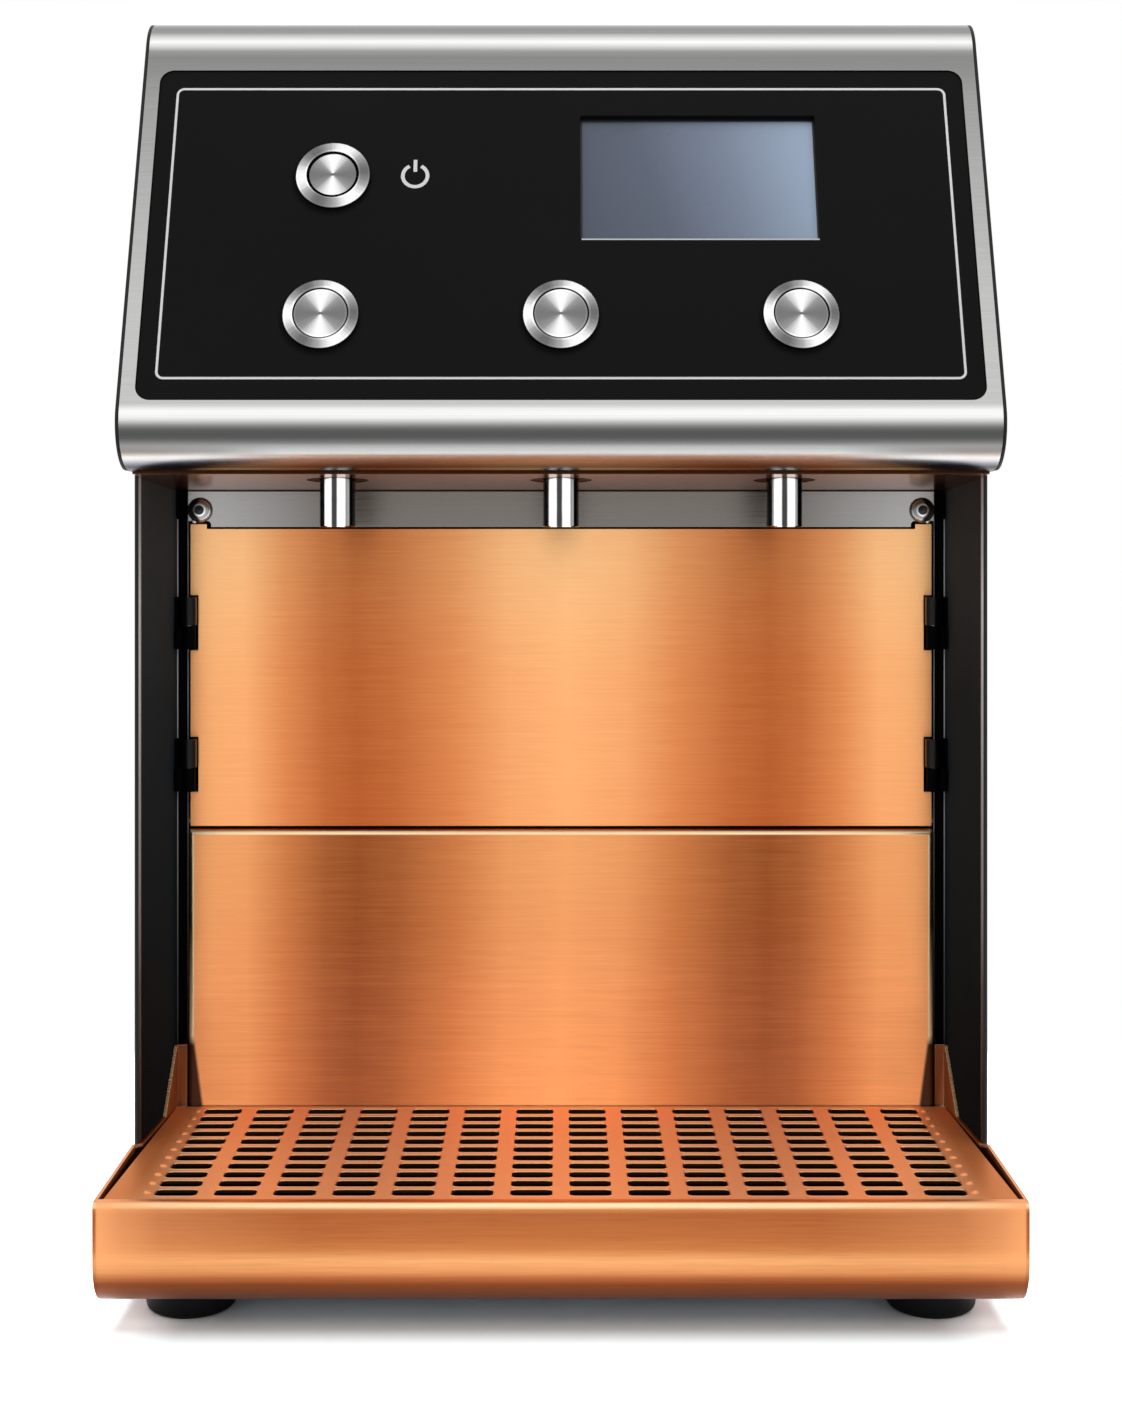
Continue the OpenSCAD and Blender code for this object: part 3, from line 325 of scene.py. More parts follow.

# %% [markdown]
# Brushed sheet also shows broad soft bars of light that stand across the grain, because every scratch
# spreads light sideways. The band group paints them into the colour as painted reflections, laid out from
# the middle to both sides with a little wander: bright in the middle, dark past half way and bright again
# at the edge.

# %% Soft bands across the grain
painted_light_bars, given, out = group(
    "painted_light_bars",
    [("Vector", V, None), ("Reach", F, 0.186), ("Wander", F, 0.03)],
    [("Shade", F)])
tree = painted_light_bars
part = axes(tree, given["Vector"])
drift = noise(tree, given["Vector"], 3.0, 1.0)
aside = maths(tree, "ADD", part["X"], swing(tree, drift, given["Wander"]))
along = maths(tree, "DIVIDE", maths(tree, "ABSOLUTE", aside), given["Reach"])
bar_stops = [(0.0, 1.0), (0.16, 0.85), (0.32, 0.45), (0.457, 0.12), (0.56, 0.0), (0.645, 0.12), (0.75, 0.5),
             (0.86, 0.92), (1.0, 1.0)]
tree.links.new(ramp(tree, along, [(t, grey(v)) for t, v in bar_stops]), out.inputs["Shade"])
print("group:", tree.name, len(tree.nodes), "nodes")

# %% [markdown]
# A turned face carries rings from the lathe, and light spreads from its middle in fans. The turned group
# gives the rings as a bump and paints the fans into the colour as painted highlights. It reads the piece's
# own UV map, which holds millimetres from the axis, so it works on a button wherever it sits.

# %% Turned metal
turned_rings_and_sheen, given, out = group(
    "turned_rings_and_sheen",
    [("Vector", V, None), ("Fans", F, 2.0), ("Turn", F, 0.25), ("Ring", F, 0.35)],
    [("Shade", F), ("Height", F)])
tree = turned_rings_and_sheen
angle = add(tree, "ShaderNodeTexGradient", {"Vector": given["Vector"]}, gradient_type="RADIAL").outputs["Fac"]
turns = maths(tree, "MULTIPLY", maths(tree, "SUBTRACT", angle, given["Turn"]), given["Fans"])
spun = maths(tree, "MULTIPLY", turns, 2 * math.pi)
fan = maths(tree, "MULTIPLY", maths(tree, "ADD", maths(tree, "COSINE", spun), 1.0), 0.5)
full = maths(tree, "MULTIPLY", angle, 2 * math.pi)
on_circle = {"X": maths(tree, "SINE", full), "Y": maths(tree, "COSINE", full)}
needle_at = add(tree, "ShaderNodeCombineXYZ", on_circle).outputs[0]
needle = noise(tree, needle_at, 14.0, 3.0)
fan = maths(tree, "ADD", fan, swing(tree, needle, 0.26))
radius = add(tree, "ShaderNodeVectorMath", {0: given["Vector"]}, operation="LENGTH").outputs["Value"]
ring_at = add(tree, "ShaderNodeCombineXYZ", {"X": maths(tree, "DIVIDE", radius, given["Ring"])}).outputs[0]
rings = noise(tree, ring_at, 1.0, 2.0)
tree.links.new(add(tree, "ShaderNodeClamp", {"Value": fan}).outputs[0], out.inputs["Shade"])
tree.links.new(rings, out.inputs["Height"])
print("group:", tree.name, len(tree.nodes), "nodes")

# %% [markdown]
# Powder coat, moulded plastic and rubber share a fine orange-peel skin with slow changes of sheen. One
# group gives both, and each material sets how coarse they are.

# %% Coated and moulded skin
fine_skin, given, out = group(
    "fine_skin",
    [("Vector", V, None), ("Grain", F, 900.0), ("Cloud", F, 12.0)],
    [("Sheen", F), ("Height", F)])
tree = fine_skin
peel = noise(tree, given["Vector"], given["Grain"], 2.0)
cloud = noise(tree, given["Vector"], given["Cloud"], 3.0)
tree.links.new(add(tree, "ShaderNodeMix", {0: 0.35, 2: cloud, 3: peel}).outputs[0], out.inputs["Sheen"])
tree.links.new(peel, out.inputs["Height"])
print("group:", tree.name, len(tree.nodes), "nodes")


# %% [markdown]
# Each finish is one material around a Principled shader. Plain numbers, such as full metal, sit on the
# shader's own sockets. Only what changes over the surface is linked, mostly colour, roughness and the
# bump.


# %% Material helper
def finish(name, metallic=0.0, **plain):
    """A material with its Principled shader: (material, tree, shader)."""
    made = bpy.data.materials.new(name)
    made.use_nodes = True
    shader = made.node_tree.nodes["Principled BSDF"]
    shader.inputs["Metallic"].default_value = metallic
    for key, value in plain.items():
        shader.inputs[key.replace("_", " ").title().replace("Ior", "IOR")].default_value = value
    return made, made.node_tree, shader


def effect(tree, which, **inputs):
    """Puts a shared effect group in a material."""
    return add(tree, "ShaderNodeGroup", inputs, node_tree=which).outputs


def dent(tree, shader, height, strength, depth):
    """Bumps the surface of a finish by a height."""
    bump = add(tree, "ShaderNodeBump", {"Height": height, "Strength": strength, "Distance": depth})
    tree.links.new(bump.outputs["Normal"], shader.inputs["Normal"])


# %% [markdown]
# Rounded sheet shows the room in level stripes, and brushing smears them into soft bands. These are
# painted reflections: a short list of heights and strengths paints each piece its stripes, and the tray
# front and the steel nose both use it.


# %% Bands by place
def stripes(tree, value, stops):
    """A strength or colour along one direction, from (millimetres, strength or colour) stops."""
    low, high = stops[0][0], stops[-1][0]
    share = ranged(tree, value, low * MM, high * MM)
    tones = [((at - low) / (high - low), v if isinstance(v, tuple) else grey(v)) for at, v in stops]
    return ramp(tree, share, tones)


def by_height(tree, stops):
    """Stripes that follow the height above the table."""
    return stripes(tree, axes(tree)["Z"], stops)


def overlay(used, mask, colour):
    """Lays a colour over the base colour of a finish where a mask is bright."""
    tree = used.node_tree
    base = tree.nodes["Principled BSDF"].inputs["Base Color"]
    tree.links.new(blend(tree, mask, base.links[0].from_socket, (*colour, 1.0)), base)


def times(tree, colour, strength):
    """One colour multiplied by another."""
    return blend(tree, 1.0, colour, strength, "MULTIPLY")


def shade_up(used, bands):
    """Multiplies the base colour of a finish by bands that follow the height."""
    tree = used.node_tree
    base = tree.nodes["Principled BSDF"].inputs["Base Color"]
    tree.links.new(times(tree, base.links[0].from_socket, by_height(tree, bands)), base)


# %% [markdown]
# Brushed copper is light where its scratches face the lamps and deep brown between. That light is
# painted: the tone runs between the two along the painted bars, and the grain breaks it into fine level
# streaks.


# %% Copper
def copper(name, light, dark, contrast, reach=0.186, rough=(0.34, 0.46), bands=None, streak=0.20,
           metal=1.0, upright=0.0, warm=(1.0, 1.0, 1.0)):
    """Brushed copper: painted bars of light between a light and a dark tone, broken up by the grain, and
    painted bands of light and shade by height where given. Scratches that lie level spread light upright,
    by the share in upright. The tone between the two is deepened by warm."""
    made, tree, shader = finish(name, metal)
    grain = effect(tree, brushed_grain, Vector=place(tree), Stretch=(26.0, 1100.0, 1100.0), Streaks=0.22)
    bars = effect(tree, painted_light_bars, Vector=place(tree), Reach=reach)["Shade"]
    tone = add(tree, "ShaderNodeMix", {0: 1.0 - contrast, 2: bars, 3: 0.5}).outputs[0]
    tone = maths(tree, "ADD", tone, swing(tree, grain["Shade"], streak))
    middle = tuple((a * 0.55 + b * 0.45) * w for a, b, w in zip(light, dark, warm))
    colour = ramp(tree, tone, [(0.0, dark), (0.5, middle), (1.0, light)])
    if bands:
        colour = times(tree, colour, by_height(tree, bands))
    tree.links.new(colour, shader.inputs["Base Color"])
    tree.links.new(spread(tree, grain["Shade"], *rough), shader.inputs["Roughness"])
    dent(tree, shader, grain["Height"], 0.16, 0.0002)
    if upright:
        shader.inputs["Anisotropic"].default_value = upright
        upwards = add(tree, "ShaderNodeCombineXYZ", {"Z": 1.0}).outputs[0]
        tree.links.new(upwards, shader.inputs["Tangent"])
    return made


PANEL_WARM = (0.96, 0.81, 0.71)
# Bands by height paint light and shade over the splash panels: the upper one darker towards its foot, the
# lower one a little darker at its foot.
upper_bands = [(200, (1.0, 0.76, 0.66)), (275, (1.0, 0.82, 0.73)), (335, (1.0, 1.0, 1.0))]
lower_bands = [(60, (1.0, 0.95, 0.88)), (120, (1.0, 1.0, 1.0)), (198, (0.94, 1.0, 1.0))]
upper_copper = copper("upper_copper", (1.0, 0.575, 0.262), (0.46, 0.140, 0.040), 0.95,
                      rough=(0.28, 0.38), bands=upper_bands, upright=0.8, warm=PANEL_WARM)
lower_copper = copper("lower_copper", (1.0, 0.41, 0.155), (0.32, 0.082, 0.022), 0.95,
                      rough=(0.32, 0.42), bands=lower_bands, upright=0.85, warm=PANEL_WARM)
grille_copper = copper("grille_copper", (1.0, 0.51, 0.25), (0.92, 0.40, 0.18), 0.2,
                       reach=0.20, rough=(0.34, 0.44), metal=0.52)
# A dark copper for the tray's ears, a painted shade for where they stand in the bay.
shaded_ear_copper = copper("shaded_ear_copper", (0.32, 0.105, 0.033), (0.25, 0.078, 0.024), 0.2,
                    reach=0.20, rough=(0.4, 0.5), metal=0.3)
# A lighter copper for edges, ear edges and slot rims: a painted highlight.
highlight_copper = copper("highlight_copper", (1.0, 0.66, 0.38), (0.95, 0.56, 0.30), 0.3, rough=(0.24, 0.32))
# The plain margin of the grille beyond the slots is painted a deeper copper that stands in for the
# reflections it shows.
tree = grille_copper.node_tree
aside = maths(tree, "ABSOLUTE", axes(tree)["X"])
overlay(grille_copper, stripes(tree, aside, [(172, 0.0), (186, 1.0)]), (0.64, 0.21, 0.07))
shader = tree.nodes["Principled BSDF"]
shader.inputs["Specular Tint"].default_value = (1.0, 0.72, 0.49, 1.0)
shader.inputs["Specular IOR Level"].default_value = 0.05
print("sheet copper finishes: 5")

# %% [markdown]
# The front of the tray is bent from one sheet. Its rounded lower half shows the floor as level stripes,
# which are painted by height, with a painted highlight along the rim. Towards both ends the front turns to
# the side light and is painted lighter, so a mask rises along the front face and falls off at the corners.

# %% Tray copper
apron_bands = [(13, (0.21, 0.12, 0.08)), (20, (0.21, 0.12, 0.08)), (25, (0.23, 0.13, 0.09)),
               (28.5, (0.42, 0.30, 0.25)), (31, (0.64, 0.60, 0.58)), (36, (0.82, 0.90, 0.95)),
               (41, (0.55, 0.45, 0.38)), (46, (0.47, 0.34, 0.28)), (56, (0.41, 0.29, 0.24)),
               (58, (0.60, 0.50, 0.45)), (59.3, (1.1, 1.9, 3.0)), (60.4, (1.1, 1.8, 2.7)),
               (61, (0.95, 0.9, 0.9))]
tray_copper = copper("tray_copper", (1.0, 0.42, 0.160), (0.80, 0.31, 0.110), 0.6,
                     reach=0.36, bands=apron_bands, streak=1.1)
tree = tray_copper.node_tree
part = axes(tree)
end_stops = [(110, 0.0), (137, 0.12), (154, 0.20), (171, 0.28), (180, 0.43), (188, 0.56), (193, 0.70),
             (197.4, 0.80), (198.2, 0.7), (198.9, 0.0)]
ends = stripes(tree, maths(tree, "ABSOLUTE", part["X"]), end_stops)
ends = maths(tree, "MULTIPLY", ends, by_height(tree, [(26, 0.05), (30, 0.3), (38, 1.0)]))
front = ranged(tree, part["Y"], -0.218, -0.228)
overlay(tray_copper, maths(tree, "MULTIPLY", ends, front), (0.95, 0.40, 0.16))
print("tray finish:", tray_copper.name)

# %% [markdown]
# The lower splash panel is a shallow pan with rounded edges, and those edges are the brightest lines on
# the machine. Painted highlights are laid over its finish along the top and both sides, with a painted
# dark line outside for the turn of the sheet. A painted dark reflection of the tray's ears lies at its two
# lower corners. Its foot is wiped after every drink, so the sheet gets rougher towards the tray and stops
# mirroring the slots.

# %% Bright edges of the lower panel
pan_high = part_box("lower_splash_panel")[1]
top, half = pan_high.z / MM, pan_high.x / MM
tree = lower_copper.node_tree
part = axes(tree)
aside = maths(tree, "ABSOLUTE", part["X"])
side_stops = [(half - 3.2, 0.0), (half - 2.6, 1.0), (half - 1.2, 1.0), (half - 0.7, 0.0)]
side_line = stripes(tree, aside, side_stops)
top_stops = [(top - 2.6, 0.0), (top - 1.9, 1.0), (top - 0.7, 1.0), (top - 0.3, 0.0)]
top_line = stripes(tree, part["Z"], top_stops)
overlay(lower_copper, maths(tree, "MAXIMUM", side_line, top_line), (1.0, 0.78, 0.48))
painted_turn_shade = stripes(tree, aside, [(half - 0.8, 0.0), (half - 0.4, 1.0)])
overlay(lower_copper, painted_turn_shade, (0.30, 0.085, 0.025))
slope = maths(tree, "SUBTRACT", aside, maths(tree, "MULTIPLY", part["Z"], 0.13))
painted_ear_image = maths(tree, "MULTIPLY", stripes(tree, slope, [(170.7, 0.0), (172.1, 1.0)]),
                  by_height(tree, [(90, 1.0), (95, 0.0)]))
overlay(lower_copper, painted_ear_image, (0.06, 0.018, 0.006))
shader = tree.nodes["Principled BSDF"]
rough = shader.inputs["Roughness"]
worn = maths(tree, "ADD", rough.links[0].from_socket, by_height(tree, [(62, 0.25), (118, 0.0)]))
tree.links.new(worn, rough)
tree.links.new(by_height(tree, [(62, 0.35), (90, 0.55), (150, 1.0)]), shader.inputs["Metallic"])
print("lower panel:", round(2 * half, 1), "mm wide, top at", round(top, 1))

# %% [markdown]
# Brushed steel has one tone and the same grain. The head is one bent sheet, so bands by height paint the
# room's reflection on it: bright and dark lines round the nose, a copper tint at its foot, an even slope
# beside the fascia and one more bright line at the top edge. Under the nose the copper glows less towards
# both ends, so the painted tone is darkened there.


# %% Steel
def steel(name, tone, stretch, rough, streaks=0.5, bump=0.12, bands=None, varied=0.12):
    """Brushed steel: a grey metal with its grain along one direction."""
    made, tree, shader = finish(name, 1.0)
    grain = effect(tree, brushed_grain, Vector=place(tree), Stretch=stretch, Streaks=streaks)
    colour = ramp(tree, grain["Shade"], [(0.0, tuple(v * (1.0 - varied) for v in tone)), (1.0, tone)])
    if bands:
        colour = times(tree, colour, by_height(tree, bands))
    tree.links.new(colour, shader.inputs["Base Color"])
    tree.links.new(spread(tree, grain["Shade"], *rough), shader.inputs["Roughness"])
    dent(tree, shader, grain["Height"], bump, 0.0002)
    return made


head_bands = [(374, (0.17, 0.085, 0.05)), (376.6, (0.11, 0.13, 0.17)), (378.4, (0.58, 0.70, 0.84)),
              (380, (1.10, 1.14, 1.15)), (382, 0.85), (383.6, 0.58), (385.4, 0.50), (387.2, 0.23),
              (389, 0.125), (391, 0.11), (392.6, 0.13), (394.3, 0.25), (396, 0.54),
              (398, 0.96), (400, 1.05), (401.8, 1.0),
              (404.5, 0.62), (415, 0.62), (453, 0.60), (502, 0.51), (553, 0.39), (571, 0.30), (575, 0.29),
              (578, 0.36), (581, 0.86), (583, 1.12), (585.5, 0.78), (588, 0.38), (591, 0.29), (595, 0.38)]
LEVEL_GRAIN = (6.0, 1500.0, 1500.0)
head_steel = steel("head_steel", (0.865, 0.86, 0.852), LEVEL_GRAIN, (0.22, 0.28), 0.15, 0.10, head_bands)
tree = head_steel.node_tree
base = tree.nodes["Principled BSDF"].inputs["Base Color"]
part = axes(tree)
end_tones = [(125, 1.0), (155, (0.60, 0.565, 0.56)), (185, (0.52, 0.45, 0.43)), (200, (0.52, 0.45, 0.43))]
ends = stripes(tree, maths(tree, "ABSOLUTE", part["X"]), end_tones)
below_nose = stripes(tree, part["Z"], [(376, 1.0), (383, 1.0), (387, 0.0)])
plain = base.links[0].from_socket
tree.links.new(blend(tree, below_nose, plain, times(tree, plain, ends)), base)
# The underside plate's steel is tinted copper-brown, a painted reflection of the bay below it.
under_steel = steel("under_steel", (0.54, 0.27, 0.17), LEVEL_GRAIN, (0.18, 0.26), 0.3)
plated_steel = steel("plated_steel", (0.60, 0.61, 0.63), (120.0, 120.0, 120.0), (0.28, 0.46), 0.8)
inner_steel = steel("inner_steel", (0.66, 0.66, 0.65), (30.0, 500.0, 500.0), (0.24, 0.36))
print("steel finishes: 4")

# %% [markdown]
# The rail hangs in the shade of the head. Its ends stand in the open and look paler, so its tone is
# painted: painted shade in the middle and paler towards the ends, by the distance from the middle.

# %% Rail steel
rail_steel, tree, shader = finish("rail_steel", 1.0)
RAIL_HALF = 0.187
rail_stops = [(0.0, (0.20, 0.185, 0.17)), (0.62, (0.185, 0.17, 0.155)), (0.86, grey(0.36)), (1.0, grey(0.48))]
grain = effect(tree, brushed_grain, Vector=place(tree), Stretch=LEVEL_GRAIN, Streaks=0.3)
aside = ranged(tree, maths(tree, "ABSOLUTE", axes(tree)["X"]), 0.0, RAIL_HALF)
shade = ramp(tree, aside, rail_stops)
streaks = ramp(tree, grain["Shade"], [(0.0, grey(0.85)), (1.0, grey(1.0))])
tree.links.new(times(tree, shade, streaks), shader.inputs["Base Color"])
tree.links.new(spread(tree, grain["Shade"], 0.24, 0.34), shader.inputs["Roughness"])
dent(tree, shader, grain["Height"], 0.1, 0.0002)
print("rail finish:", rail_steel.name)

# %% [markdown]
# A polished tube draws the room as upright stripes: dark towards the viewer's side of the studio, white
# beside it and dark again at its edges. The stripes are painted reflections, laid into the colour round the
# tube by angle, from its UV map, front and back alike.

# %% Polished tube
polished_steel, tree, shader = finish("polished_steel", 1.0, roughness=0.12)
at = add(tree, "ShaderNodeUVMap", uv_map="turned").outputs["UV"]
angle = add(tree, "ShaderNodeTexGradient", {"Vector": at}, gradient_type="RADIAL").outputs["Fac"]
side = maths(tree, "PINGPONG", maths(tree, "SUBTRACT", angle, 0.236), 0.25)
wisp = effect(tree, fine_skin, Vector=place(tree), Grain=900.0, Cloud=120.0)["Sheen"]
side = maths(tree, "ADD", maths(tree, "MULTIPLY", side, 4.0), swing(tree, wisp, 0.03))
tube_stops = [(0.0, 0.05), (0.075, 0.06), (0.115, 0.95), (0.385, 0.95), (0.42, 0.26), (0.53, 0.36),
              (0.59, 0.02), (1.0, 0.05)]
tree.links.new(ramp(tree, side, [(t, grey(v)) for t, v in tube_stops]), shader.inputs["Base Color"])
print("tube finish:", polished_steel.name)


# %% [markdown]
# Buttons and screw heads are turned too. Besides the painted fans of light, a list of radii paints the
# bright line of a polished rim as a highlight and the dark line of a gap or a socket as shade.


# %% Turned steel
def turned(name, fans, turn, tones, rims, rough=0.26):
    """Lathe-turned steel with dark, middle and light tones painted in fans of light, and (radius in mm,
    strength) rims that paint highlight and shade.
    """
    made, tree, shader = finish(name, 1.0, roughness=rough)
    at = add(tree, "ShaderNodeUVMap", uv_map="turned").outputs["UV"]
    face = effect(tree, turned_rings_and_sheen, Vector=at, Fans=fans, Turn=turn)
    colour = ramp(tree, face["Shade"], [(k / 2, grey(v)) for k, v in enumerate(tones)])
    radius = add(tree, "ShaderNodeVectorMath", {0: at}, operation="LENGTH").outputs["Value"]
    radius = maths(tree, "DIVIDE", radius, rims[-1][0])
    colour = times(tree, colour, ramp(tree, radius, [(r / rims[-1][0], grey(v)) for r, v in rims]))
    tree.links.new(colour, shader.inputs["Base Color"])
    dent(tree, shader, face["Height"], 0.18, 0.0001)
    return made


cap_rims = [(0.0, 0.25), (0.5, 0.35), (0.9, 1.0), (11.3, 1.0), (11.6, 1.3), (12.0, 1.3), (12.2, 0.4),
            (12.35, 0.2)]
outer_rims = [(16.5, 1.0), (16.85, 1.3), (17.2, 1.0), (17.45, 0.3)]
bezel_rims = [(12.6, 0.5), (12.9, 1.5), (13.5, 1.5), (13.8, 1.0)] + outer_rims
power_rims = [(12.05, 0.5), (12.25, 1.5), (12.8, 1.5), (13.1, 1.0)] + outer_rims
screw_rims = [(0.0, 0.06), (2.3, 0.08), (2.5, 1.5), (3.0, 1.5), (3.4, 0.7), (4.6, 0.6), (5.2, 1.3),
              (5.6, 1.0), (6.0, 0.15)]
disc_steel = turned("disc_steel", 2.0, 0.25, (0.17, 0.30, 0.92), cap_rims)
bezel_steel = turned("bezel_steel", 3.0, 0.0, (0.14, 0.38, 0.92), bezel_rims)
power_bezel_steel = turned("power_bezel_steel", 3.0, 0.02, (0.14, 0.38, 0.92), power_rims)
screw_steel = turned("screw_steel", 1.0, 0.30, (0.14, 0.30, 0.62), screw_rims, 0.2)
print("turned finishes:", disc_steel.name, bezel_steel.name, screw_steel.name)

# %% [markdown]
# The black sheets, the moulded pieces, the rubber and the print are not metal. They share one recipe with
# different tones, and the sheets of the bay get painted light by height, as the steel does.


# %% Coated, moulded and rubber finishes
def coated(name, dark, light, rough, grain, bump, cloud=9.0, **plain):
    """A non-metal skin: a tone that clouds slowly, with a fine peel."""
    made, tree, shader = finish(name, 0.0, **plain)
    skin = effect(tree, fine_skin, Vector=place(tree), Grain=grain, Cloud=cloud)
    tree.links.new(ramp(tree, skin["Sheen"], [(0.3, dark), (0.7, light)]), shader.inputs["Base Color"])
    tree.links.new(spread(tree, skin["Sheen"], *rough), shader.inputs["Roughness"])
    dent(tree, shader, skin["Height"], bump, 0.0003)
    return made


PEEL = 1100.0
black_coat = coated("black_coat", grey(0.010), grey(0.015), (0.40, 0.52), PEEL, 0.10, specular_ior_level=0.2)
bay_coat = coated("bay_coat", (0.0085, 0.0125, 0.0150), (0.0112, 0.0165, 0.0200), (0.5, 0.62), PEEL, 0.10,
                  specular_ior_level=0.0)
# Shade black is a near-black that stands for deep shade on faces the light doesn't reach: a painted shade.
shade_black = coated("shade_black", grey(0.0012), grey(0.002), (0.5, 0.6), PEEL, 0.05,
                     specular_ior_level=0.02)
hinge_black = coated("hinge_black", grey(0.002), grey(0.004), (0.3, 0.4), PEEL, 0.05, specular_ior_level=0.2)
# A light grey for the edges of the side panels and the display: a painted highlight.
edge_highlight = coated("edge_highlight", (0.41, 0.44, 0.47), (0.55, 0.58, 0.61), (0.3, 0.4), PEEL, 0.02,
                   specular_ior_level=0.3)
# Painted light by height: the bay walls lighter towards the top, and the hem's line of light fading
# downwards.
wall_bands = [(80, 1.3), (168, 2.1), (265, (3.2, 3.0, 3.0)), (333, (6.3, 5.4, 5.0)), (352, (6.5, 5.5, 5.1))]
shade_up(bay_coat, wall_bands)
hem_bands = [(88, 0.05), (133, 0.16), (179, 0.6), (224, 0.85), (270, 1.3), (316, 1.7), (361, 1.1)]
shade_up(edge_highlight, hem_bands)
fascia_black = coated("fascia_black", grey(0.0035), grey(0.005), (0.46, 0.6), 1600.0, 0.04,
                      specular_ior_level=0.06)
black_plastic = coated("black_plastic", grey(0.008), grey(0.014), (0.35, 0.5), 1400.0, 0.08)
foot_rubber = coated("foot_rubber", grey(0.0022), grey(0.0045), (0.42, 0.6), 700.0, 0.15,
                     specular_ior_level=0.12)
hose_silicone = coated("hose_silicone", (0.62, 0.60, 0.54), (0.74, 0.72, 0.66), (0.3, 0.42), 300.0, 0.08)
pump_plastic = coated("pump_plastic", (0.60, 0.60, 0.57), (0.70, 0.70, 0.67), (0.38, 0.5), 900.0, 0.06)
motor_coat = coated("motor_coat", (0.03, 0.03, 0.034), (0.05, 0.05, 0.056), (0.35, 0.5), 900.0, 0.1)
board_green = coated("board_green", (0.010, 0.075, 0.030), (0.018, 0.11, 0.046), (0.25, 0.38), 1800.0, 0.05,
                     40.0)
print_white = coated("print_white", grey(0.62), grey(0.74), (0.4, 0.5), 2500.0, 0.03)
print("coated finishes: 13")

# %% [markdown]
# The unlit display is a glossy blue-grey sheet that catches the room, and that reflection is painted on it:
# dark at its lower left and pale towards the upper right. Its gradient runs over the sheet in object
# coordinates, under a clear coat.

# %% Display finish
screen_glass, tree, shader = finish("screen_glass", 0.0, coat_weight=0.35, coat_roughness=0.06)
from_middle = {"Vector": place(tree), "Location": (-0.0648, 0.154, -0.514)}
sheet_place = add(tree, "ShaderNodeMapping", from_middle).outputs[0]
part = axes(tree, sheet_place)
slant = maths(tree, "ADD", maths(tree, "MULTIPLY", part["X"], 8.6), maths(tree, "MULTIPLY", part["Z"], 2.6))
cloud = effect(tree, fine_skin, Vector=place(tree), Grain=700.0, Cloud=16.0)
slant = maths(tree, "ADD", maths(tree, "ADD", slant, 0.5), swing(tree, cloud["Sheen"], 0.15))
sky_stops = [(0.0, (0.036, 0.048, 0.086)), (0.3, (0.058, 0.078, 0.126)), (0.65, (0.155, 0.198, 0.292)),
             (1.0, (0.290, 0.380, 0.515))]
tree.links.new(ramp(tree, slant, sky_stops), shader.inputs["Base Color"])
tree.links.new(spread(tree, cloud["Sheen"], 0.25, 0.35), shader.inputs["Roughness"])
print("display sheet:", screen_glass.name)

# %% [markdown]
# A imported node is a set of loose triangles. A copy of it is welded, its flat faces are joined into single
# polygons, and a narrow bevel softens its edges so that they catch the light, as a bent or ground sheet
# edge does.


# %% Dressing a node
def link_piece(name, mesh, body, finish_used, stands_for=()):
    """Puts a finished mesh in the scene, on its body and in its finish."""
    made = bpy.data.objects.new(name, mesh)
    scene.collection.objects.link(made)
    if finish_used:
        mesh.materials.clear()
        mesh.materials.append(finish_used)
    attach(made, body)
    if stands_for:
        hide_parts(*stands_for)
    return made


def evaluated(made):
    """The mesh of an object with its modifiers, as a plain mesh; the object goes."""
    bpy.context.view_layer.update()
    final = made.evaluated_get(bpy.context.evaluated_depsgraph_get())
    mesh = bpy.data.meshes.new_from_object(final)
    bpy.data.objects.remove(made)
    return mesh


def split(mesh, at, way):
    """Cuts the faces of a mesh along a plane, so that each side of it can have its own finish."""
    bm = bmesh.new()
    bm.from_mesh(mesh)
    every = bm.verts[:] + bm.edges[:] + bm.faces[:]
    bmesh.ops.bisect_plane(bm, geom=every, plane_co=at, plane_no=way)
    bm.to_mesh(mesh)
    bm.free()


def dress(node, finish_used, bevel=0.0, edge_finish=None, steps=2, angle=32):
    """Stands a welded, bevelled and smooth-shaded copy in for a node; its edges can have their own finish."""
    bm = bmesh.new()
    bm.from_mesh(nodes[node].data)
    bmesh.ops.remove_doubles(bm, verts=bm.verts, dist=2e-6)
    bmesh.ops.dissolve_limit(bm, angle_limit=math.radians(0.4), verts=bm.verts, edges=bm.edges)
    mesh = sealed(bm, node + "_dressed")
    mesh.shade_smooth()
    mesh.materials.clear()
    mesh.materials.append(finish_used)
    if bevel:
        raw = bpy.data.objects.new("raw", mesh)
        scene.collection.objects.link(raw)
        edge = raw.modifiers.new("edge", "BEVEL")
        edge.width = bevel * MM
        edge.segments = steps
        edge.limit_method = "ANGLE"
        edge.angle_limit = math.radians(angle)
        if edge_finish:
            mesh.materials.append(edge_finish)
            edge.material = 1
        raw.modifiers.new("flat_faces", "WEIGHTED_NORMAL").keep_sharp = True
        mesh = evaluated(raw)
    else:
        mesh.set_sharp_from_angle(angle=math.radians(angle))
    return link_piece(node + "_dressed", mesh, nodes[node]["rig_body"], None, [node])


# %% [markdown]
# The table below gives each node its finish and the width of its edge in millimetres. Outer sheets have a
# visible edge; pieces that stay inside keep their plain ones.

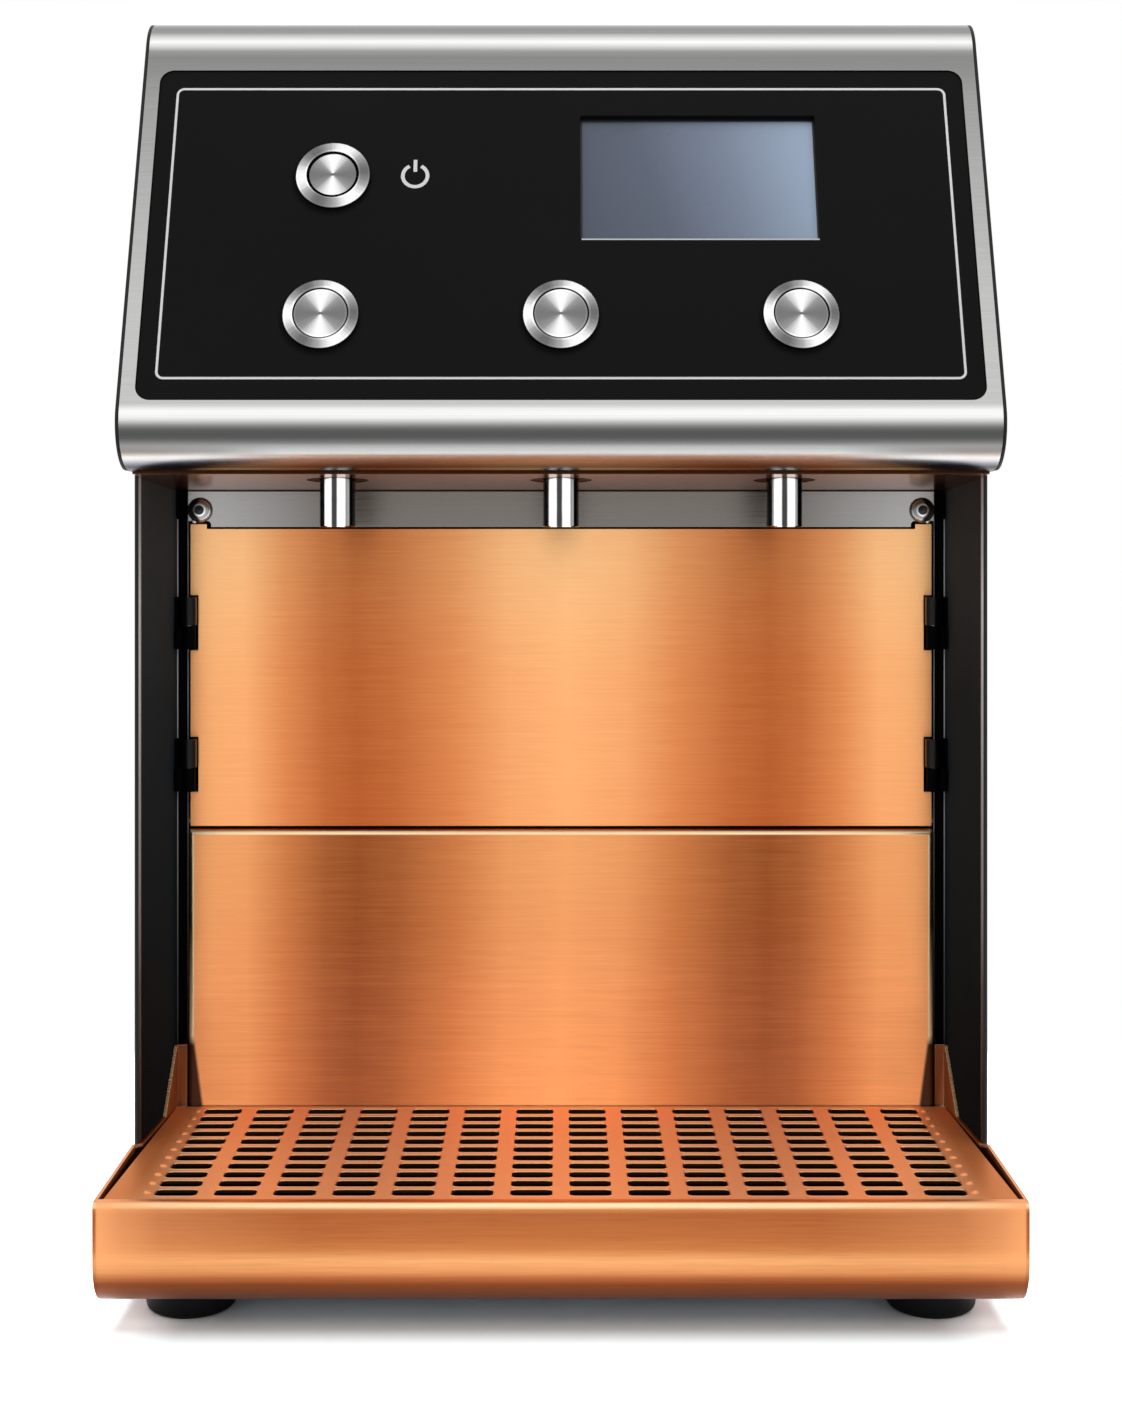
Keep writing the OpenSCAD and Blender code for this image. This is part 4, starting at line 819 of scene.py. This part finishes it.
# %% Outer sheets and panels
outer = {
    "head_shell": (head_steel, 0.35), "underside_plate": (under_steel, 0.15), "spout_rail": (rail_steel, 0.3),
    "left_head_cheek": (black_coat, 0.3), "right_head_cheek": (black_coat, 0.3),
    # The edges of the side panels and of the tray take a lighter finish, a painted highlight.
    "left_side_panel": (black_coat, 0.7, edge_highlight), "right_side_panel": (black_coat, 0.7, edge_highlight),
    "rear_panel": (black_coat, 0.3),
    "upper_splash_panel": (upper_copper, 0.3), "lower_splash_panel": (lower_copper, 0.5),
    "drip_tray": (tray_copper, 0.6, highlight_copper), "drip_grille": (grille_copper, 0.0),
    "fascia_panel": (fascia_black, 0.35),
    "hinge_panel_leaves": (hinge_black, 0.3), "hinge_frame_leaves": (shade_black, 0.3),
    "rubber_feet": (foot_rubber, 0.8), "spout_collars": (foot_rubber, 0.2),
    "mains_inlet": (black_plastic, 0.6), "inlet_fittings": (inner_steel, 0.4),
    "base_plate": (plated_steel, 0.2), "foot_screws": (plated_steel, 0.3),
}
dressed = {node: dress(node, *looks) for node, looks in outer.items()}
lit = bpy.data.collections.new("lit_by_grille")
lit.objects.link(dressed["lower_splash_panel"])
bounce.light_linking.receiver_collection = lit
print("outer pieces:", len(dressed))

# %% [markdown]
# Only the outside of the tray is polished. Its well is rough and painted almost black as the shade
# under the grille, so the slots of the grille look down into shade. The sheet is cut along a level line
# first, because its two ears stand above the rim: they lie in the shade of the bay, painted as a darker
# copper, and keep only a painted highlight on their cut edge.

# %% The tray's well in painted shade
shade_copper, tree, shader = finish("shade_copper", 1.0)
shade_cloud = effect(tree, fine_skin, Vector=place(tree), Grain=500.0, Cloud=30.0)
shade_tones = ramp(tree, shade_cloud["Sheen"], [(0.3, (0.030, 0.011, 0.005)), (0.7, (0.075, 0.028, 0.011))])
tree.links.new(shade_tones, shader.inputs["Base Color"])
tree.links.new(spread(tree, shade_cloud["Sheen"], 0.5, 0.75), shader.inputs["Roughness"])
dent(tree, shader, shade_cloud["Height"], 0.2, 0.0003)
RIM_CUT, EAR_FOOT = 0.0596, 0.0613
WELL_LOW, WELL_TOP, WELL_HALF, WELL_FRONT, WELL_BACK = 0.0185, 0.0583, 0.1985, -0.2386, -0.0952
WELL_MIDDLE = -0.165
tray = dressed["drip_tray"].data
split(tray, (0, 0, RIM_CUT), (0, 0, 1))
tray.materials.append(shade_copper)
tray.materials.append(shaded_ear_copper)
for face in tray.polygons:
    x, y, z = face.center
    if z > EAR_FOOT and face.material_index == 0:
        slanted = face.normal.y < -0.3 and face.normal.z > 0.1
        face.material_index = 1 if slanted else 3
    if WELL_LOW < z < WELL_TOP and abs(x) < WELL_HALF and WELL_FRONT < y < WELL_BACK:
        inwards = -face.normal.x * x - face.normal.y * (y - WELL_MIDDLE)
        if face.normal.z > 0.7 or abs(face.normal.z) < 0.98 and inwards > 0:
            face.material_index = 2
print("dull faces:", sum(face.material_index == 2 for face in tray.polygons))

# %% [markdown]
# Behind the fold of each side panel a flange runs back to the splash panel, out of the light, so its
# faces get the deepest black as painted shade. The walls of the bay stand in the glow of the copper and
# take a cooler black that balances it, painted lighter towards the top, and the hem along their front
# edge gets a painted line of light that fades downwards.

# %% Bay walls, hems and shaded flanges
HEM_WIDTH, FLANGE_HALF = 0.0022, 0.194
for side in ("left_side_panel", "right_side_panel"):
    panel = dressed[side].data
    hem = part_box(side)[0].y + HEM_WIDTH
    split(panel, (0, hem, 0), (0, 1, 0))
    panel.materials.append(shade_black)
    panel.materials.append(bay_coat)
    for face in panel.polygons:
        x, y = face.center.xy
        if face.normal.y < -0.9 and abs(x) < FLANGE_HALF and face.material_index == 0:
            face.material_index = 2
        elif face.normal.x * x < 0 and abs(face.normal.x) > 0.5:
            face.material_index = 1 if y < hem else 3
    counts = [sum(face.material_index == k for face in panel.polygons) for k in range(4)]
    print(side, "faces by finish:", counts)

# %% [markdown]
# The plate under the head ends in a cut edge that faces the viewer, in the shade of the nose. It takes
# the painted shade of the tray's well.

# %% The shaded edge of the underside plate
plate = dressed["underside_plate"].data
plate.materials.append(shade_copper)
for face in plate.polygons:
    if face.normal.y < -0.5:
        face.material_index = 1
print("shaded edge faces:", sum(face.material_index for face in plate.polygons))

# %% [markdown]
# A drip grille hides what is under it: the walls of its slots and its underside lie in shade. Those faces
# get the painted shade of the tray's well too, and only the top stays bright.

# %% The grille's dark slots
SLOTS_HALF, SLOTS_FRONT, SLOTS_BACK = 0.179, -0.2285, -0.0995
grille = dressed["drip_grille"].data
grille.materials.append(shade_copper)
for face in grille.polygons:
    inside = abs(face.center.x) < SLOTS_HALF and SLOTS_FRONT < face.center.y < SLOTS_BACK
    if face.normal.z < -0.5 or inside and face.normal.z < 0.5:
        face.material_index = 1
print("shaded grille faces:", sum(face.material_index for face in grille.polygons))

# %% [markdown]
# The other pieces lie inside or out of sight. Each keeps one finish and its plain edges, and the table
# lists them by finish.

# %% Inner pieces
inner = {
    plated_steel: ["hinge_pins", "power_spring", "left_spring", "centre_spring", "right_spring",
                   "button_nuts", "spout_carrier", "spout_nuts", "heater_shelf", "pump_shelf",
                   "power_supply"],
    inner_steel: ["heater_vessel", "heater_caps", "heating_element", "temperature_sensor"],
    shade_black: ["inner_bulkhead", "rail_carrier"],
    motor_coat: ["pump_motors"],
    board_green: ["control_board"],
    black_plastic: ["switch_bodies", "display_module"],
    pump_plastic: ["pump_heads", "left_pump_rotor", "centre_pump_rotor", "right_pump_rotor"],
}
for used, names in inner.items():
    for node in names:
        dress(node, used)
print("inner pieces:", sum(len(names) for names in inner.values()))

# %% [markdown]
# Round pieces are turned from a profile, like work on a lathe. The same function makes the button caps,
# their bezels, the dark ring and the spouts, each with a UV map in millimetres from its own axis.


# %% Turning a profile
TURNED_SHARP = math.radians(28)


def turn(profile, steps=96, where=Matrix.Identity(4)):
    """A surface of revolution from (radius, height) points in millimetres: from the axis, or closed."""
    bm = bmesh.new()
    uv = bm.loops.layers.uv.new("turned")
    angles = [2 * math.pi * k / steps for k in range(steps)]
    rings = []
    for r, z in profile:
        if r < 1e-6:
            rings.append([bm.verts.new((0, 0, z))])
        else:
            rings.append([bm.verts.new((r * math.cos(a), r * math.sin(a), z)) for a in angles])
    pairs = list(zip(rings, rings[1:]))
    if len(rings[0]) > 1 and len(rings[-1]) > 1:
        pairs.append((rings[-1], rings[0]))
    for low, high in pairs:
        for k in range(steps):
            n = (k + 1) % steps
            below = [low[k % len(low)], low[n % len(low)]]
            above = [high[n % len(high)], high[k % len(high)]]
            bm.faces.new(list(dict.fromkeys(below + above)))
    bmesh.ops.recalc_face_normals(bm, faces=bm.faces)
    for face in bm.faces:
        for loop in face.loops:
            loop[uv].uv = loop.vert.co.xy
    bmesh.ops.transform(bm, matrix=where @ Matrix.Scale(MM, 4), verts=bm.verts)
    mesh = sealed(bm, "turned")
    mesh.shade_smooth()
    mesh.set_sharp_from_angle(angle=TURNED_SHARP)
    return mesh


def joined(name, meshes):
    """Several meshes as one."""
    bm = bmesh.new()
    for mesh in meshes:
        bm.from_mesh(mesh)
    made = sealed(bm, name)
    made.shade_smooth()
    made.set_sharp_from_angle(angle=TURNED_SHARP)
    return made


# %% [markdown]
# The fascia leans back, so its pieces are drawn in its own frame: across, up the lean and outwards. One
# matrix takes that frame to the machine.

# %% The fascia's frame
LEAN = math.radians(20.5)
across = Vector((1, 0, 0))
up_lean = Vector((0, math.sin(LEAN), math.cos(LEAN)))
outward = Vector((0, -math.cos(LEAN), math.sin(LEAN)))
fascia_at = Vector((0, -0.194444, 0.406633))
on_fascia = Matrix((across, up_lean, outward)).transposed().to_4x4()
on_fascia.translation = fascia_at
FACE = -0.7
button_spots = {"power": (-107.0, 114.6, 11.75), "left": (-109.8, 42.3, 12.9),
                "centre": (0.0, 42.3, 12.9), "right": (109.8, 42.3, 12.9)}


def spot_frame(name):
    """The fascia's frame, moved to a button."""
    u, v = button_spots[name][:2]
    return on_fascia @ Matrix.Translation((u * MM, v * MM, 0))


print("fascia frame at", tuple(round(v, 4) for v in on_fascia.translation))

# %% [markdown]
# Each cap is a shallow dish with a small centre pip and a polished rim, and the bezel is a ring with a
# sloped face. The power button has a thinner cap inside a black ring.

# %% Button caps, bezels and the power ring
for name, (*_, bore_r) in button_spots.items():
    r = bore_r - (0.7 if name == "power" else 0.5)
    cap = [(0, 1.16), (0.5, 1.12), (r * 0.5, 1.16), (r - 1.1, 1.26), (r - 0.75, 1.36), (r - 0.4, 1.34),
           (r - 0.1, 1.15), (r, 0.8), (r, -4.0), (4.0, -4.0), (4.0, -19.5), (0, -19.5)]
    dish = turn(cap, where=spot_frame(name))
    link_piece(name + "_cap_turned", dish, name + "_cap", disc_steel, [name + "_button"])
bore, edge = 12.7, 17.45
rings = []
for name in button_spots:
    lip = 12.15 if name == "power" else bore
    ring = [(lip, 1.2), (lip + 0.15, 1.55), (lip + 0.5, 1.75), (lip + 0.9, 1.72), (edge - 1.3, 1.42),
            (edge - 0.6, 1.15), (edge - 0.15, 0.7), (edge, 0.2), (edge, FACE), (15.0, FACE), (15.0, -18.0),
            (5.5, -18.0), (5.5, -16.0), (bore, -16.0)]
    if lip < bore:
        ring += [(bore, 0.8), (lip, 0.8)]
    rings.append(turn(ring, where=spot_frame(name)))
bezels = joined("button_bezels_turned", rings)
link_piece("button_bezels_turned", bezels, "housing", bezel_steel, ["button_bezels"])
bezels.materials.append(power_bezel_steel)
power_at = spot_frame("power").translation
for face in bezels.polygons:
    if (face.center - power_at).length < 0.03:
        face.material_index = 1
# The ring takes the shade black, a painted shade for the recess round the cap.
dark_ring = [(11.6, -4.0), (12.65, -4.0), (12.65, 0.6), (12.5, 0.75), (11.8, 0.75), (11.6, 0.6)]
dark = turn(dark_ring, where=spot_frame("power"))
link_piece("power_ring_turned", dark, "housing", shade_black, ["power_ring"])
print("buttons:", len(button_spots))

# %% [markdown]
# A bezel stands proud of the fascia and shades it close to its edge, mostly below. That shadow is
# painted: the fascia's own finish goes black there, and the distance to the nearest button, measured from
# a little lower, gives the mask.

# %% Shade round the bezels
tree = fascia_black.node_tree
base = tree.nodes["Principled BSDF"].inputs["Base Color"]
nearest = 1.0
for name in button_spots:
    centre = spot_frame(name) @ Vector((-0.0006, -0.0018, 0.0))
    away = add(tree, "ShaderNodeVectorMath", {0: place(tree), 1: tuple(centre)}, operation="DISTANCE")
    nearest = maths(tree, "MINIMUM", nearest, away.outputs["Value"])
open_face = stripes(tree, nearest, [(17.4, 0.05), (19.6, 1.0)])
tree.links.new(times(tree, base.links[0].from_socket, open_face), base)
print("shaded spots:", len(button_spots))

# %% [markdown]
# A spout is a tube with a rolled mouth and a thinner shank that passes through the carrier to the hose.
# The three stand in lanes, which the hoses use again.

# %% Spouts
lanes = {"left": -105.8, "centre": 0.0, "right": 105.8}
spout_profile = [(6.0, 349.4), (6.3, 349.0), (7.9, 349.0), (8.25, 349.15), (8.5, 349.6), (8.5, 379.9),
                 (6.0, 379.9), (6.0, 390.0), (5.0, 390.0), (5.0, 402.0), (3.0, 402.0),
                 (3.0, 372.0), (6.0, 368.0)]
for name, x in lanes.items():
    spout = turn(spout_profile, 64, Matrix.Translation((x * MM, -0.145, 0)))
    link_piece(name + "_spout_turned", spout, "housing", polished_steel, [name + "_spout"])
print("spouts:", len(lanes))

# %% [markdown]
# The border line and the power sign are printed on the fascia. They are drawn as flat strips that stand a
# few hundredths of a millimetre proud, which keeps them sharp from any side.


# %% Printed line and sign
PRINT_HEIGHTS = (FACE - 0.02, FACE + 0.04)


def strip(path, width, closed, name):
    """A flat printed strip along a path on the fascia, in millimetres."""
    bm = bmesh.new()
    count = len(path)
    pairs = []
    for k, (x, y) in enumerate(path):
        before = path[k - 1] if closed or k else path[k]
        after = path[(k + 1) % count] if closed or k < count - 1 else path[k]
        run = Vector((after[0] - before[0], after[1] - before[1])).normalized() * (width / 2)
        ends = [(x - s * run.y, y + s * run.x) for s in (-1, 1)]
        pairs.append([[bm.verts.new((*end, z)) for end in ends] for z in PRINT_HEIGHTS])
    spans = range(count if closed else count - 1)
    for k in spans:
        (a, b), (c, d) = pairs[k]
        (e, f), (g, h) = pairs[(k + 1) % count]
        for corners in ((c, d, h, g), (a, e, f, b), (a, c, g, e), (b, f, h, d)):
            bm.faces.new(corners)
    if not closed:
        for low, high in (pairs[0], pairs[-1]):
            bm.faces.new((low[0], low[1], high[1], high[0]))
    bmesh.ops.recalc_face_normals(bm, faces=bm.faces)
    bmesh.ops.transform(bm, matrix=on_fascia @ Matrix.Scale(MM, 4), verts=bm.verts)
    return sealed(bm, name)


def rounded_path(x0, y0, x1, y1, r, steps=8):
    """A rounded rectangle as a list of points, anticlockwise."""
    points = []
    centres = ((x1 - r, y1 - r), (x0 + r, y1 - r), (x0 + r, y0 + r), (x1 - r, y0 + r))
    for (cx, cy), start in zip(centres, (0, 90, 180, 270)):
        for k in range(steps + 1):
            a = math.radians(start + 90 * k / steps)
            points.append((cx + r * math.cos(a), cy + r * math.sin(a)))
    return points


border = strip(rounded_path(-182.9, 10.6, 182.9, 162.2, 3.2), 1.15, True, "border_line")
link_piece("border_line", border, "housing", print_white)
sign_u, sign_v, sign_r = -68.5, 114.9, 5.8
arc_angles = [math.radians(a) for a in range(118, 423, 8)]
arc = [(sign_u + sign_r * math.cos(a), sign_v + sign_r * math.sin(a)) for a in arc_angles]
bar = [(sign_u, sign_v + 2.2), (sign_u, sign_v + 8.6)]
sign = joined("power_sign", [strip(arc, 1.75, False, "arc"), strip(bar, 1.75, False, "bar")])
link_piece("power_sign", sign, "housing", print_white)
# A thin pale strip along the lower edge of the display opening is a painted highlight on that edge.
lower_edge = strip([(9.6, 81.3), (120.0, 81.3)], 0.7, False, "display_edge")
link_piece("display_edge", lower_edge, "housing", edge_highlight)
print("printed pieces: 3")

# %% [markdown]
# The display module lies behind an opening of the fascia. What shows there is a thin sheet of its own with
# rounded corners, set a few millimetres deep.

# %% The display's sheet
SHEET_U, SHEET_V, SHEET_FRONT, SHEET_BACK = 64.8, 114.6, -4.05, -4.19
half_w, half_h = 109.4 / 2, 63.4 / 2
path = rounded_path(SHEET_U - half_w, SHEET_V - half_h, SHEET_U + half_w, SHEET_V + half_h, 0.8, 3)
bm = bmesh.new()
front = [bm.verts.new((x, y, SHEET_FRONT)) for x, y in path]
back = [bm.verts.new((x, y, SHEET_BACK)) for x, y in path]
bm.faces.new(front)
bm.faces.new(back[::-1])
for k in range(len(path)):
    n = (k + 1) % len(path)
    bm.faces.new((front[k], back[k], back[n], front[n]))
bmesh.ops.recalc_face_normals(bm, faces=bm.faces)
bmesh.ops.transform(bm, matrix=on_fascia @ Matrix.Scale(MM, 4), verts=bm.verts)
link_piece("display_sheet", sealed(bm, "display_sheet"), "housing", screen_glass)
print("display sheet:", half_w * 2, "by", half_h * 2, "mm")

# %% [markdown]
# The grille has the same slot over and over, each with a rolled rim, so Geometry Nodes draw one rim from
# a rounded rectangle and place it on a grid. The tree's inputs are the sizes that the punch tool would
# have.


# %% Geometry Nodes helper
def geometry_tree(name, inputs):
    """An empty geometry tree with a geometry output and named inputs: (tree, input sockets, output node)."""
    made = bpy.data.node_groups.new(name, "GeometryNodeTree")
    for label, kind in inputs:
        made.interface.new_socket(label, in_out="INPUT", socket_type=kind)
    made.interface.new_socket("Geometry", in_out="OUTPUT", socket_type="NodeSocketGeometry")
    return made, made.nodes.new("NodeGroupInput").outputs, made.nodes.new("NodeGroupOutput")


def grown(name, tree, values, body, used, stands_for=(), base=None):
    """Runs a geometry tree on a base mesh, or an empty one, and keeps its result as a plain piece."""
    mesh = base or bpy.data.meshes.new(name + "_base")
    raw = bpy.data.objects.new(name + "_raw", mesh)
    scene.collection.objects.link(raw)
    grow = raw.modifiers.new("grow", "NODES")
    grow.node_group = tree
    for item in tree.interface.items_tree:
        if item.in_out == "INPUT" and item.name in values:
            grow[item.identifier] = values[item.name]
    mesh = evaluated(raw)
    mesh.shade_smooth()
    mesh.set_sharp_from_angle(angle=math.radians(40))
    return link_piece(name, mesh, body, used, stands_for)


I, M, O, G = "NodeSocketInt", "NodeSocketMaterial", "NodeSocketObject", "NodeSocketGeometry"


def ending(tree, out, geometry, material):
    """Realizes what was placed, sets its material and ends the tree."""
    solid = add(tree, "GeometryNodeRealizeInstances", {"Geometry": geometry}).outputs[0]
    painted = add(tree, "GeometryNodeSetMaterial", {"Geometry": solid, "Material": material}).outputs[0]
    tree.links.new(painted, out.inputs["Geometry"])


# %% Slot rims
rims, given, out = geometry_tree("slot_rims", [
    ("Columns", I), ("Rows", I), ("Pitch across", F), ("Pitch along", F), ("Slot length", F),
    ("Slot width", F), ("Corner", F), ("Bead", F), ("Centre", V), ("Material", M)])
wide = maths(rims, "MULTIPLY", maths(rims, "SUBTRACT", given["Columns"], 1.0), given["Pitch across"])
long = maths(rims, "MULTIPLY", maths(rims, "SUBTRACT", given["Rows"], 1.0), given["Pitch along"])
spots = {"Size X": wide, "Size Y": long, "Vertices X": given["Columns"], "Vertices Y": given["Rows"]}
grid = add(rims, "GeometryNodeMeshGrid", spots).outputs["Mesh"]
oblong = {"Width": given["Slot length"], "Height": given["Slot width"]}
outline = add(rims, "GeometryNodeCurvePrimitiveQuadrilateral", oblong).outputs[0]
fillet = {"Curve": outline, "Radius": given["Corner"], "Count": 4}
rounded = add(rims, "GeometryNodeFilletCurve", fillet, mode="POLY").outputs[0]
circle = {"Resolution": 6, "Radius": given["Bead"]}
wire = add(rims, "GeometryNodeCurvePrimitiveCircle", circle).outputs["Curve"]
bead = add(rims, "GeometryNodeCurveToMesh", {"Curve": rounded, "Profile Curve": wire}).outputs[0]
set_out = add(rims, "GeometryNodeInstanceOnPoints", {"Points": grid, "Instance": bead}).outputs[0]
moved = add(rims, "GeometryNodeTransform", {"Geometry": set_out, "Translation": given["Centre"]}).outputs[0]
ending(rims, out, moved, given["Material"])
SLOT_ROWS, ROW_PITCH = 11, 0.012
grille_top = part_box("drip_grille")[1].z
GRILLE_FRONT, GRILLE_BACK, SLOT_SHIFT = -0.235, -0.097, 0.002
slots_y = (GRILLE_FRONT + GRILLE_BACK) / 2 + SLOT_SHIFT
# The rims take the highlight copper, a painted highlight along each slot.
rim_sizes = {"Columns": 14, "Rows": SLOT_ROWS, "Pitch across": 0.0257, "Pitch along": ROW_PITCH,
             "Slot length": 0.0188, "Slot width": 0.0089, "Corner": 0.0026, "Bead": 0.00032,
             "Centre": (0.0, slots_y, grille_top - 0.0002), "Material": highlight_copper}
rim_piece = grown("slot_rims", rims, rim_sizes, "grille", highlight_copper)
print("slot rims:", len(rim_piece.data.polygons), "faces")

# %% [markdown]
# Small round nubs stand beyond both ends of every slot row, where the grille was pressed. They come from
# the same kind of tree with a ball in place of the rim.

# %% Nubs
nubs, given, out = geometry_tree("row_nubs", [
    ("Rows", I), ("Pitch along", F), ("Reach", F), ("Ball", F), ("Centre", V), ("Material", M)])
wide = maths(nubs, "MULTIPLY", given["Reach"], 2.0)
long = maths(nubs, "MULTIPLY", maths(nubs, "SUBTRACT", given["Rows"], 1.0), given["Pitch along"])
spots = {"Size X": wide, "Size Y": long, "Vertices X": 2, "Vertices Y": given["Rows"]}
grid = add(nubs, "GeometryNodeMeshGrid", spots).outputs["Mesh"]
facets = {"Segments": 12, "Rings": 8, "Radius": given["Ball"]}
ball = add(nubs, "GeometryNodeMeshUVSphere", facets).outputs["Mesh"]
flat = add(nubs, "GeometryNodeTransform", {"Geometry": ball, "Scale": (1.15, 1.0, 0.75)}).outputs[0]
set_out = add(nubs, "GeometryNodeInstanceOnPoints", {"Points": grid, "Instance": flat}).outputs[0]
moved = add(nubs, "GeometryNodeTransform", {"Geometry": set_out, "Translation": given["Centre"]}).outputs[0]
ending(nubs, out, moved, given["Material"])
nub_sizes = {"Rows": SLOT_ROWS, "Pitch along": ROW_PITCH, "Reach": 0.1796, "Ball": 0.0018,
             "Centre": (0.0, slots_y, grille_top - 0.0003), "Material": grille_copper}
nub_piece = grown("row_nubs", nubs, nub_sizes, "grille", grille_copper)
print("nubs:", len(nub_piece.data.polygons), "faces")

# %% [markdown]
# A screw head is a low dome with a hexagon socket. It is turned once, the socket is cut, and Geometry
# Nodes place copies on a list of points that face the same way: two on the spout rail and eight on the
# rear panel.


# %% Screws
def screw(head_r, head_h, shank_r, shank_l, socket_r):
    """One socket screw along -Y with the underside of its head at the origin."""
    dome = [(0, head_h), (head_r * 0.55, head_h * 0.97), (head_r * 0.8, head_h * 0.82),
            (head_r * 0.95, head_h * 0.5), (head_r, head_h * 0.2), (head_r * 0.97, 0), (shank_r, 0),
            (shank_r, -shank_l), (0, -shank_l)]
    floor_h, over_h = head_h * 0.35, head_h + 1
    hexagon = [(0, floor_h), (socket_r, floor_h), (socket_r, over_h), (0, over_h)]
    made = bpy.data.objects.new("screw_source", turn(dome, 48))
    tool = bpy.data.objects.new("socket_tool", turn(hexagon, 6))
    for each in (made, tool):
        each.data.transform(Matrix.Rotation(math.radians(90), 4, "X"))
        scene.collection.objects.link(each)
    cut = made.modifiers.new("socket", "BOOLEAN")
    cut.operation, cut.object, cut.solver = "DIFFERENCE", tool, "EXACT"
    mesh = evaluated(made)
    bpy.data.objects.remove(tool)
    return mesh


def points_mesh(name, spots):
    """Loose points as a mesh."""
    mesh = bpy.data.meshes.new(name)
    mesh.from_pydata(spots, [], [])
    return mesh


screws, given, out = geometry_tree("screw_set", [
    ("Geometry", G), ("Screw", O), ("Facing", V), ("Material", M)])
pattern = {"Object": given["Screw"], "As Instance": True}
one = add(screws, "GeometryNodeObjectInfo", pattern).outputs["Geometry"]
placing = {"Points": given["Geometry"], "Instance": one, "Rotation": given["Facing"]}
set_out = add(screws, "GeometryNodeInstanceOnPoints", placing).outputs[0]
ending(screws, out, set_out, given["Material"])
rail_spots = [(s * 0.1804, -0.093, 0.3575) for s in (-1, 1)]
rear_spots = [(s * 0.1883, 0.212, z) for s in (-1, 1) for z in (0.0425, 0.165, 0.320, 0.5733)]
for name, sizes, spots, facing, used, slot in (
        ("rail_screws", (6.25, 3.2, 3.0, 7.5, 2.4), rail_spots, 0.0, screw_steel, "polished_steel"),
        ("rear_screws", (4.0, 2.4, 2.0, 8.0, 1.6), rear_spots, math.pi, plated_steel, "plated_steel")):
    source = bpy.data.objects.new(name + "_source", screw(*sizes))
    scene.collection.objects.link(source)
    values = {"Screw": source, "Facing": (0.0, 0.0, facing), "Material": used}
    points = points_mesh(name + "_points", spots)
    made = grown(name + "_set", screws, values, "housing", used, [name], points)
    bpy.data.objects.remove(source)
    print(made.name, len(made.data.polygons), "faces")

# %% [markdown]
# A small round pin keys each end of the rail below its screw. It is a low dome, turned like the rest.

# %% Rail pins
facing_front = Matrix.Rotation(math.radians(90), 4, "X")
pin = [(0, 0.7), (0.8, 0.6), (1.2, 0.3), (1.3, 0.0), (1.3, -0.4), (0, -0.4)]
pin_spots = [Matrix.Translation((s * 0.1835, -0.093, 0.3520)) for s in (-1, 1)]
pins = [turn(pin, 16, at @ facing_front) for at in pin_spots]
link_piece("rail_pins", joined("rail_pins", pins), "housing", inner_steel)
print("rail pins:", len(pins))

# %% [markdown]
# The hoses inside run from each rear inlet to its pump, up to the heater and on to a spout. A path of
# points is turned into a curve and swept with a round section by one tree, which keeps the bends smooth.


# %% Hoses
def elbow(x, y0, z0, y1, z1, bend, steps=10):
    """Up from z0, round a bend and along Y to y1, in millimetres."""
    way = 1 if y1 > y0 else -1
    run = [(x, y0, z0), (x, y0, (z0 + z1 - bend) / 2)]
    for k in range(steps + 1):
        a = math.radians(90 * k / steps)
        run.append((x, y0 + way * bend * (1 - math.cos(a)), z1 - bend + bend * math.sin(a)))
    return run + [(x, y1, z1)]


sweep, given, out = geometry_tree("hose_sweep", [
    ("Geometry", G), ("Radius", F), ("Sides", I), ("Material", M)])
line = add(sweep, "GeometryNodeMeshToCurve", {"Mesh": given["Geometry"]}).outputs[0]
circle = {"Resolution": given["Sides"], "Radius": given["Radius"]}
section = add(sweep, "GeometryNodeCurvePrimitiveCircle", circle).outputs["Curve"]
swept = {"Curve": line, "Profile Curve": section, "Fill Caps": True}
tube = add(sweep, "GeometryNodeCurveToMesh", swept).outputs[0]
ending(sweep, out, tube, given["Material"])
runs = {
    "supply_hoses": [[(x, 142.0, 250.0), (x, 172.0, 250.0), (x, 203.5, 250.0)] for x in lanes.values()],
    "feed_hoses": [elbow(x, 110.0, 281.0, 76.0, 445.0, 20.0) for x in lanes.values()],
    "outlet_hoses": [elbow(x, -145.0, 390.1, -36.0, 445.0, 30.0) for x in lanes.values()],
}
hose_sizes = {"Radius": 0.007, "Sides": 24, "Material": hose_silicone}
for name, paths in runs.items():
    spots, edges = [], []
    for path in paths:
        edges += [(len(spots) + k, len(spots) + k + 1) for k in range(len(path) - 1)]
        spots += [tuple(v * MM for v in p) for p in path]
    base = bpy.data.meshes.new(name + "_paths")
    base.from_pydata(spots, edges, [])
    made = grown(name + "_swept", sweep, hose_sizes, "housing", hose_silicone, [name], base)
    print(made.name, len(made.data.polygons), "faces")
